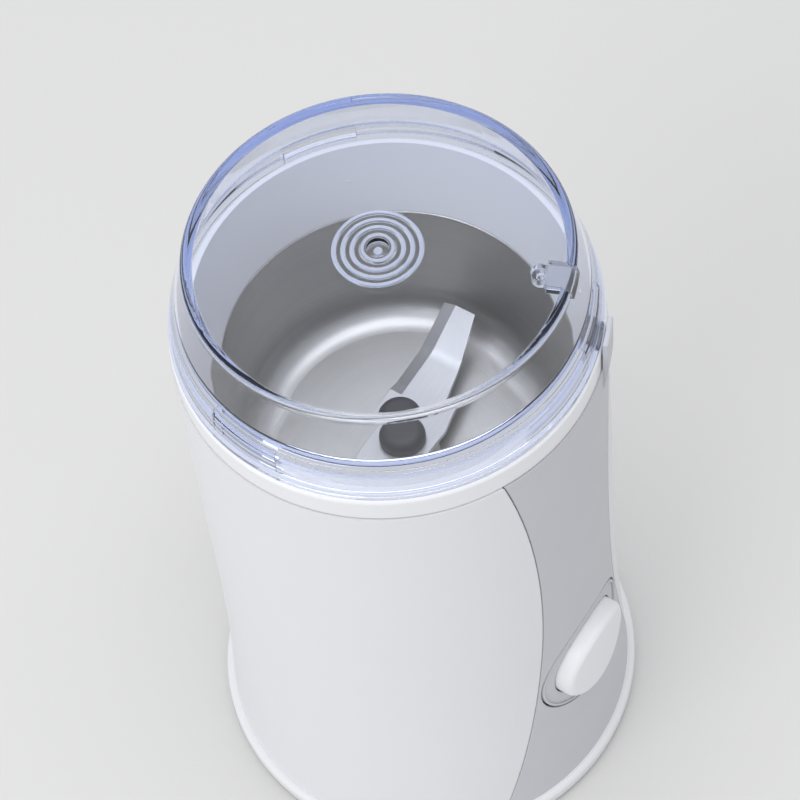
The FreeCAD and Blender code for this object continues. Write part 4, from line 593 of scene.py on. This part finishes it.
def round_edges(piece, width, segments, angle=40.0, smooth_up_to=40.0):
    """Round each edge whose faces meet at more than the angle, then shade smoothly."""
    only(piece)
    rounding = piece.modifiers.new("rounding", "BEVEL")
    rounding.width = width
    rounding.segments = segments
    rounding.limit_method = "ANGLE"
    rounding.angle_limit = math.radians(angle)
    bpy.ops.object.modifier_apply(modifier=rounding.name)
    bpy.ops.object.shade_smooth_by_angle(angle=math.radians(smooth_up_to))


def place_of(node):
    """Lowest and highest corner of a piece of the frame."""
    low, high = (Vector(corner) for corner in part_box(node))
    return low, high


def stands_for(piece, node, body):
    """Give a modelled piece the finish and the body of a piece of the frame, and hide that piece."""
    piece.data.materials.clear()
    piece.data.materials.append(finishes[slots[node]])
    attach(piece, body)
    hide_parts(node)
    print(piece.name, "stands for", node, "with", len(piece.data.polygons), "faces")


button_low, button_high = place_of("power_button")
print("button from", [in_mm(v) for v in button_low], "to", [in_mm(v) for v in button_high])

# %% [markdown]
# ## Push button
# The button is a white cap that stands a few millimetres out of the panel, with a face that curves
# like the tube and a generous radius round it. A round bar gives the wall. Its flat end is inset
# several times, so that there are rings of points to move, and a Shrinkwrap modifier projects those
# points onto a large upright cylinder. The radius comes last: the first ring was made wider than
# the radius, so the bevel has room to run round evenly.

# %% Model the push button
well_height = ((button_low + button_high) / 2).z
cap_radius = mm(12.0)
cap_front = button_low.y - mm(1.6)
cap_back = button_low.y + mm(11.0)
cap_edge = mm(1.5)
face_curve = mm(46.0)
face_reach = mm(30.0)
inset_width = mm(2.0)
inset_count = 4
close = mm(0.1)


def at_well(y, rise=0.0):
    """A point on the button's axis, or straight above or below it."""
    return Vector((0, y, well_height + rise))


button_cap = solid("button_cap", cap_radius, cap_radius, at_well(cap_back), at_well(cap_front), sides=96)
pick(button_cap, lambda middle, normal: normal.y < -0.9)
bpy.ops.mesh.inset(thickness=cap_edge * 1.15)
for ring in range(inset_count):
    bpy.ops.mesh.inset(thickness=inset_width)
bpy.ops.mesh.poke()
leave()

face_axis = cap_front + face_curve
face_shape = solid(
    "face_shape", face_curve, face_curve,
    at_well(face_axis, -face_reach), at_well(face_axis, face_reach), sides=720)
front = button_cap.vertex_groups.new(name="front")
front.add(
    [point.index for point in button_cap.data.vertices if point.co.y < cap_front + close], 1.0, "ADD")
only(button_cap)
curving = button_cap.modifiers.new("curving", "SHRINKWRAP")
curving.wrap_method = "PROJECT"
curving.use_project_y = True
curving.use_negative_direction = True
curving.use_positive_direction = True
curving.target = face_shape
curving.vertex_group = front.name
bpy.ops.object.modifier_apply(modifier=curving.name)
bpy.data.objects.remove(face_shape, do_unlink=True)
round_edges(button_cap, cap_edge, segments=6)
stands_for(button_cap, "power_button", "button")

# %% [markdown]
# ## Ring round the button
# A grey ring lines the opening in the panel. Its ledge follows the curve of the panel a little below
# the surface, and a narrow lip at its outside closes the opening. Both are bars trimmed by a cone
# that is slightly slimmer than the machine; the cone is wider at its foot because the machine flares.

# %% Model the ring round the button
lip_radius = mm(16.1)
ledge_radius = mm(15.5)
button_gap = mm(0.35)
lip_sink = mm(0.05)
ledge_sink = mm(0.4)
flare_low = mm(47.2)
flare_high = mm(45.95)
flare_reach = mm(20.0)
ring_back = mm(-38.2)
beyond_panel = mm(-60.0)
beyond_bars = mm(-70.0)
ring_edge = mm(0.15)


def trimmed_bar(name, sink):
    """A bar through the panel whose front follows the panel's surface, sunk by a distance."""
    bar = solid(name, lip_radius, lip_radius, at_well(ring_back), at_well(beyond_panel))
    skin = solid(
        name + "_skin", flare_low - sink, flare_high - sink,
        at_well(0, -flare_reach), at_well(0, flare_reach), sides=360)
    carve(bar, skin, "INTERSECT")
    return bar


def bore(piece, radius):
    """Drill a round hole along the button's axis."""
    drill = solid("drill", radius, radius, at_well(0), at_well(beyond_bars))
    carve(piece, drill, "DIFFERENCE")


button_ring = trimmed_bar("button_ring", ledge_sink)
lip = trimmed_bar("lip", lip_sink)
bore(lip, ledge_radius)
carve(button_ring, lip, "UNION")
bore(button_ring, cap_radius + button_gap)
round_edges(button_ring, ring_edge, segments=2)
stands_for(button_ring, "button_surround", "body")

# %% [markdown]
# ## Blade
# The blade is a strip of hard steel: bent up at one end and a little down at the other, tapered at
# the back, and ground to a thin edge on the side that leads as it turns. It could be drawn as an
# outline and extruded, but a bar that is cut, pulled and bent in the order of the real work is
# easier to read. The bisect operator adds a line of edges wherever the next step needs one.

# %% Helpers for cutting lines and moving points
def cut_lines(piece, where, direction):
    """Add a line of edges all round the piece where a plane crosses it."""
    pick(piece, lambda middle, normal: True)
    bpy.ops.mesh.bisect(plane_co=where, plane_no=direction)
    leave()


def move_points(piece, test, offset):
    """Move the points of a piece that pass a test, and say how many there were."""
    only(piece)
    bpy.ops.object.mode_set(mode="EDIT")
    bpy.ops.mesh.select_mode(type="VERT")
    bpy.ops.mesh.select_all(action="DESELECT")
    leave()
    for point in piece.data.vertices:
        point.select = test(point.co)
    moved = sum(point.select for point in piece.data.vertices)
    bpy.ops.object.mode_set(mode="EDIT")
    bpy.ops.transform.translate(value=offset)
    leave()
    return moved


blade_low, blade_high = place_of("blade")
print("blade from", [in_mm(v) for v in blade_low], "to", [in_mm(v) for v in blade_high])

# %% [markdown]
# The strip starts flat, as wide and long as the finished blade. Each end is treated alike, turned
# half round: the trailing corner of the tip moves in, and the top of the leading edge moves down
# until a fifth of a millimetre is left.

# %% Cut, taper and grind the strip
sheet = mm(1.2)
half_long = blade_high.x
half_wide = blade_high.y
drop = mm(1.7)
level = blade_low.z + drop
rise = blade_high.z - sheet - level
taper_from = mm(6.0)
grind_inset = mm(2.5)
grind_from = taper_from + grind_inset
taper_in = mm(5.0)
taper_at_grind = taper_in * (grind_inset / (half_long - taper_from))
ground_width = mm(3.0)
edge_left = mm(0.2)
ends = (1, -1)
across = (1, 0, 0)
lengthwise = (0, 1, 0)

bpy.ops.object.select_all(action="DESELECT")
bpy.ops.mesh.primitive_cube_add(size=1.0, location=(0, 0, level + sheet / 2))
bpy.context.object.scale = (2 * half_long, 2 * half_wide, sheet)
grinder_blade = settle("grinder_blade")

for side in ends:
    cut_lines(grinder_blade, (side * taper_from, 0, 0), across)
    cut_lines(grinder_blade, (side * grind_from, 0, 0), across)
    for place, move in ((half_long, taper_in), (grind_from, taper_at_grind)):
        move_points(
            grinder_blade,
            lambda point, s=side, x=place: abs(point.x * s - x) < close and point.y * s < 0,
            (0, side * move, 0))
for side in ends:
    cut_lines(grinder_blade, (0, side * (half_wide - ground_width), 0), lengthwise)
for side in ends:
    lowered = move_points(
        grinder_blade,
        lambda point, s=side: (
            point.z > level + sheet / 2 and point.y * s > half_wide - close
            and point.x * s > grind_from - close),
        (0, 0, edge_left - sheet))
print("strip", in_mm(2 * half_long), "mm long; points lowered for each ground edge:", lowered)

# %% [markdown]
# Bending comes last, because lines cut square across the strip then already carry its taper and its
# ground edge. Four lines a millimetre apart share each bend, so that it is round and not a crease:
# in the bend the height grows with the square of the way, and after it in a straight line.

# %% Bend the ends
bend_at = half_long - mm(12.0)
bend_length = mm(3.0)
line_gap = mm(1.0)
for side, lift in ((1, rise), (-1, -drop)):
    slope = lift / (half_long - bend_at - bend_length / 2)
    for step in range(4):
        cut_lines(grinder_blade, (side * (bend_at + line_gap * step), 0, 0), across)
    for step in (1, 2, 3):
        way = line_gap * step
        move_points(
            grinder_blade,
            lambda point, s=side, x=bend_at + way: abs(point.x * s - x) < close,
            (0, 0, slope * way * way / (2 * bend_length)))
    move_points(
        grinder_blade, lambda point, s=side: point.x * s > half_long - close, (0, 0, lift))
round_edges(grinder_blade, mm(0.1), segments=2, angle=50.0, smooth_up_to=12.0)
stands_for(grinder_blade, "blade", "rotor")

# %% [markdown]
# ## Camera
# The photograph looks down at the machine at about 58 degrees, from half-way between its button side
# and its left flank, with a long lens and a slight roll. The camera stands on that line of sight.

# %% Camera
camera_azimuth = math.radians(-51.5)
camera_elevation = math.radians(57.97)
camera_roll = math.radians(-7.425)
camera_distance = 0.576
lens_length = 121.5
target = Vector((0.00031, -0.00039, 0.1215))


def direction(azimuth, elevation):
    """The way from the machine to something beside it; azimuth 0 is the button side."""
    return Vector((
        math.sin(azimuth) * math.cos(elevation),
        -math.cos(azimuth) * math.cos(elevation),
        math.sin(elevation),
    ))


back = direction(camera_azimuth, camera_elevation)
level_right = Vector((math.cos(camera_azimuth), math.sin(camera_azimuth), 0.0))
level_up = back.cross(level_right)
right = level_right * math.cos(camera_roll) + level_up * math.sin(camera_roll)
up = back.cross(right)

camera_data = bpy.data.cameras.new("studio_camera")
camera_data.lens = lens_length
camera_data.sensor_width = 36.0
camera_data.clip_start = 0.01
camera_data.clip_end = 50.0
camera = bpy.data.objects.new("studio_camera", camera_data)
camera.matrix_world = Matrix.Translation(target + back * camera_distance) @ Matrix(
    (right, up, back)).transposed().to_4x4()
bpy.context.scene.collection.objects.link(camera)
bpy.context.scene.camera = camera
print("camera at", [in_mm(v) for v in camera.matrix_world.translation], "mm")

# %% [markdown]
# ## Floor
# The machine stands on a pale matte table top that fills the view. A large disc gives it, with a
# fine grain and a slow change of tone, so that it isn't a flat colour.

# %% Floor
floor_radius = 3.0


def pale_floor():
    finish = Finish("studio_floor")
    cloud = finish.noise(2.0)
    grain = finish.noise(900.0)
    return finish.surface({
        "Base Color": finish.blend(cloud * 0.7 + grain * 0.3, (0.69, 0.687, 0.68), (0.665, 0.662, 0.655)),
        "Roughness": 0.75,
        "Normal": finish.relief(grain, mm(0.02)),
    })


bpy.ops.object.select_all(action="DESELECT")
bpy.ops.mesh.primitive_circle_add(vertices=96, radius=floor_radius, fill_type="NGON", location=(0, 0, 0))
floor = bpy.context.object
floor.name = "studio_floor"
floor.data.materials.append(pale_floor())
print("floor radius in metres:", floor_radius)

# %% [markdown]
# ## Light
# Two large soft boxes, one above and one low on the left, and an even sky of light keep the shadows
# weak, as in a product photograph. Light that comes from the left gives the tube its slow fall of
# tone to the right.

# %% Lights
def soft_box(name, azimuth, elevation, distance, size, power):
    """A square lamp aimed at the machine, placed by direction as a photographer would say it."""
    lamp = bpy.data.lights.new(name, "AREA")
    lamp.shape = "SQUARE"
    lamp.size = size
    lamp.energy = power
    box = bpy.data.objects.new(name, lamp)
    towards = direction(math.radians(azimuth), math.radians(elevation))
    box.location = Vector((0, 0, machine_height / 2)) + towards * distance
    box.rotation_mode = "QUATERNION"
    box.rotation_quaternion = towards.to_track_quat("Z", "Y")
    bpy.context.scene.collection.objects.link(box)


soft_box("top_box", azimuth=0.0, elevation=89.0, distance=1.6, size=1.2, power=10.5)
soft_box("key_box", azimuth=-98.0, elevation=34.0, distance=1.5, size=1.0, power=6.3)

world = bpy.data.worlds.new("studio_world")
world.use_nodes = True
sky = world.node_tree.nodes["Background"]
sky.inputs["Color"].default_value = (0.965, 0.975, 1.0, 1.0)
sky.inputs["Strength"].default_value = 0.70
bpy.context.scene.world = world
bpy.context.scene.view_settings.view_transform = "Standard"

# %% [markdown]
# ## Size of the construction
# The size of the construction, measured before the dressing, is printed in millimetres.

# %% Print the size of the construction
print("construction", [in_mm(v) for v in cad_high - cad_low], "mm")
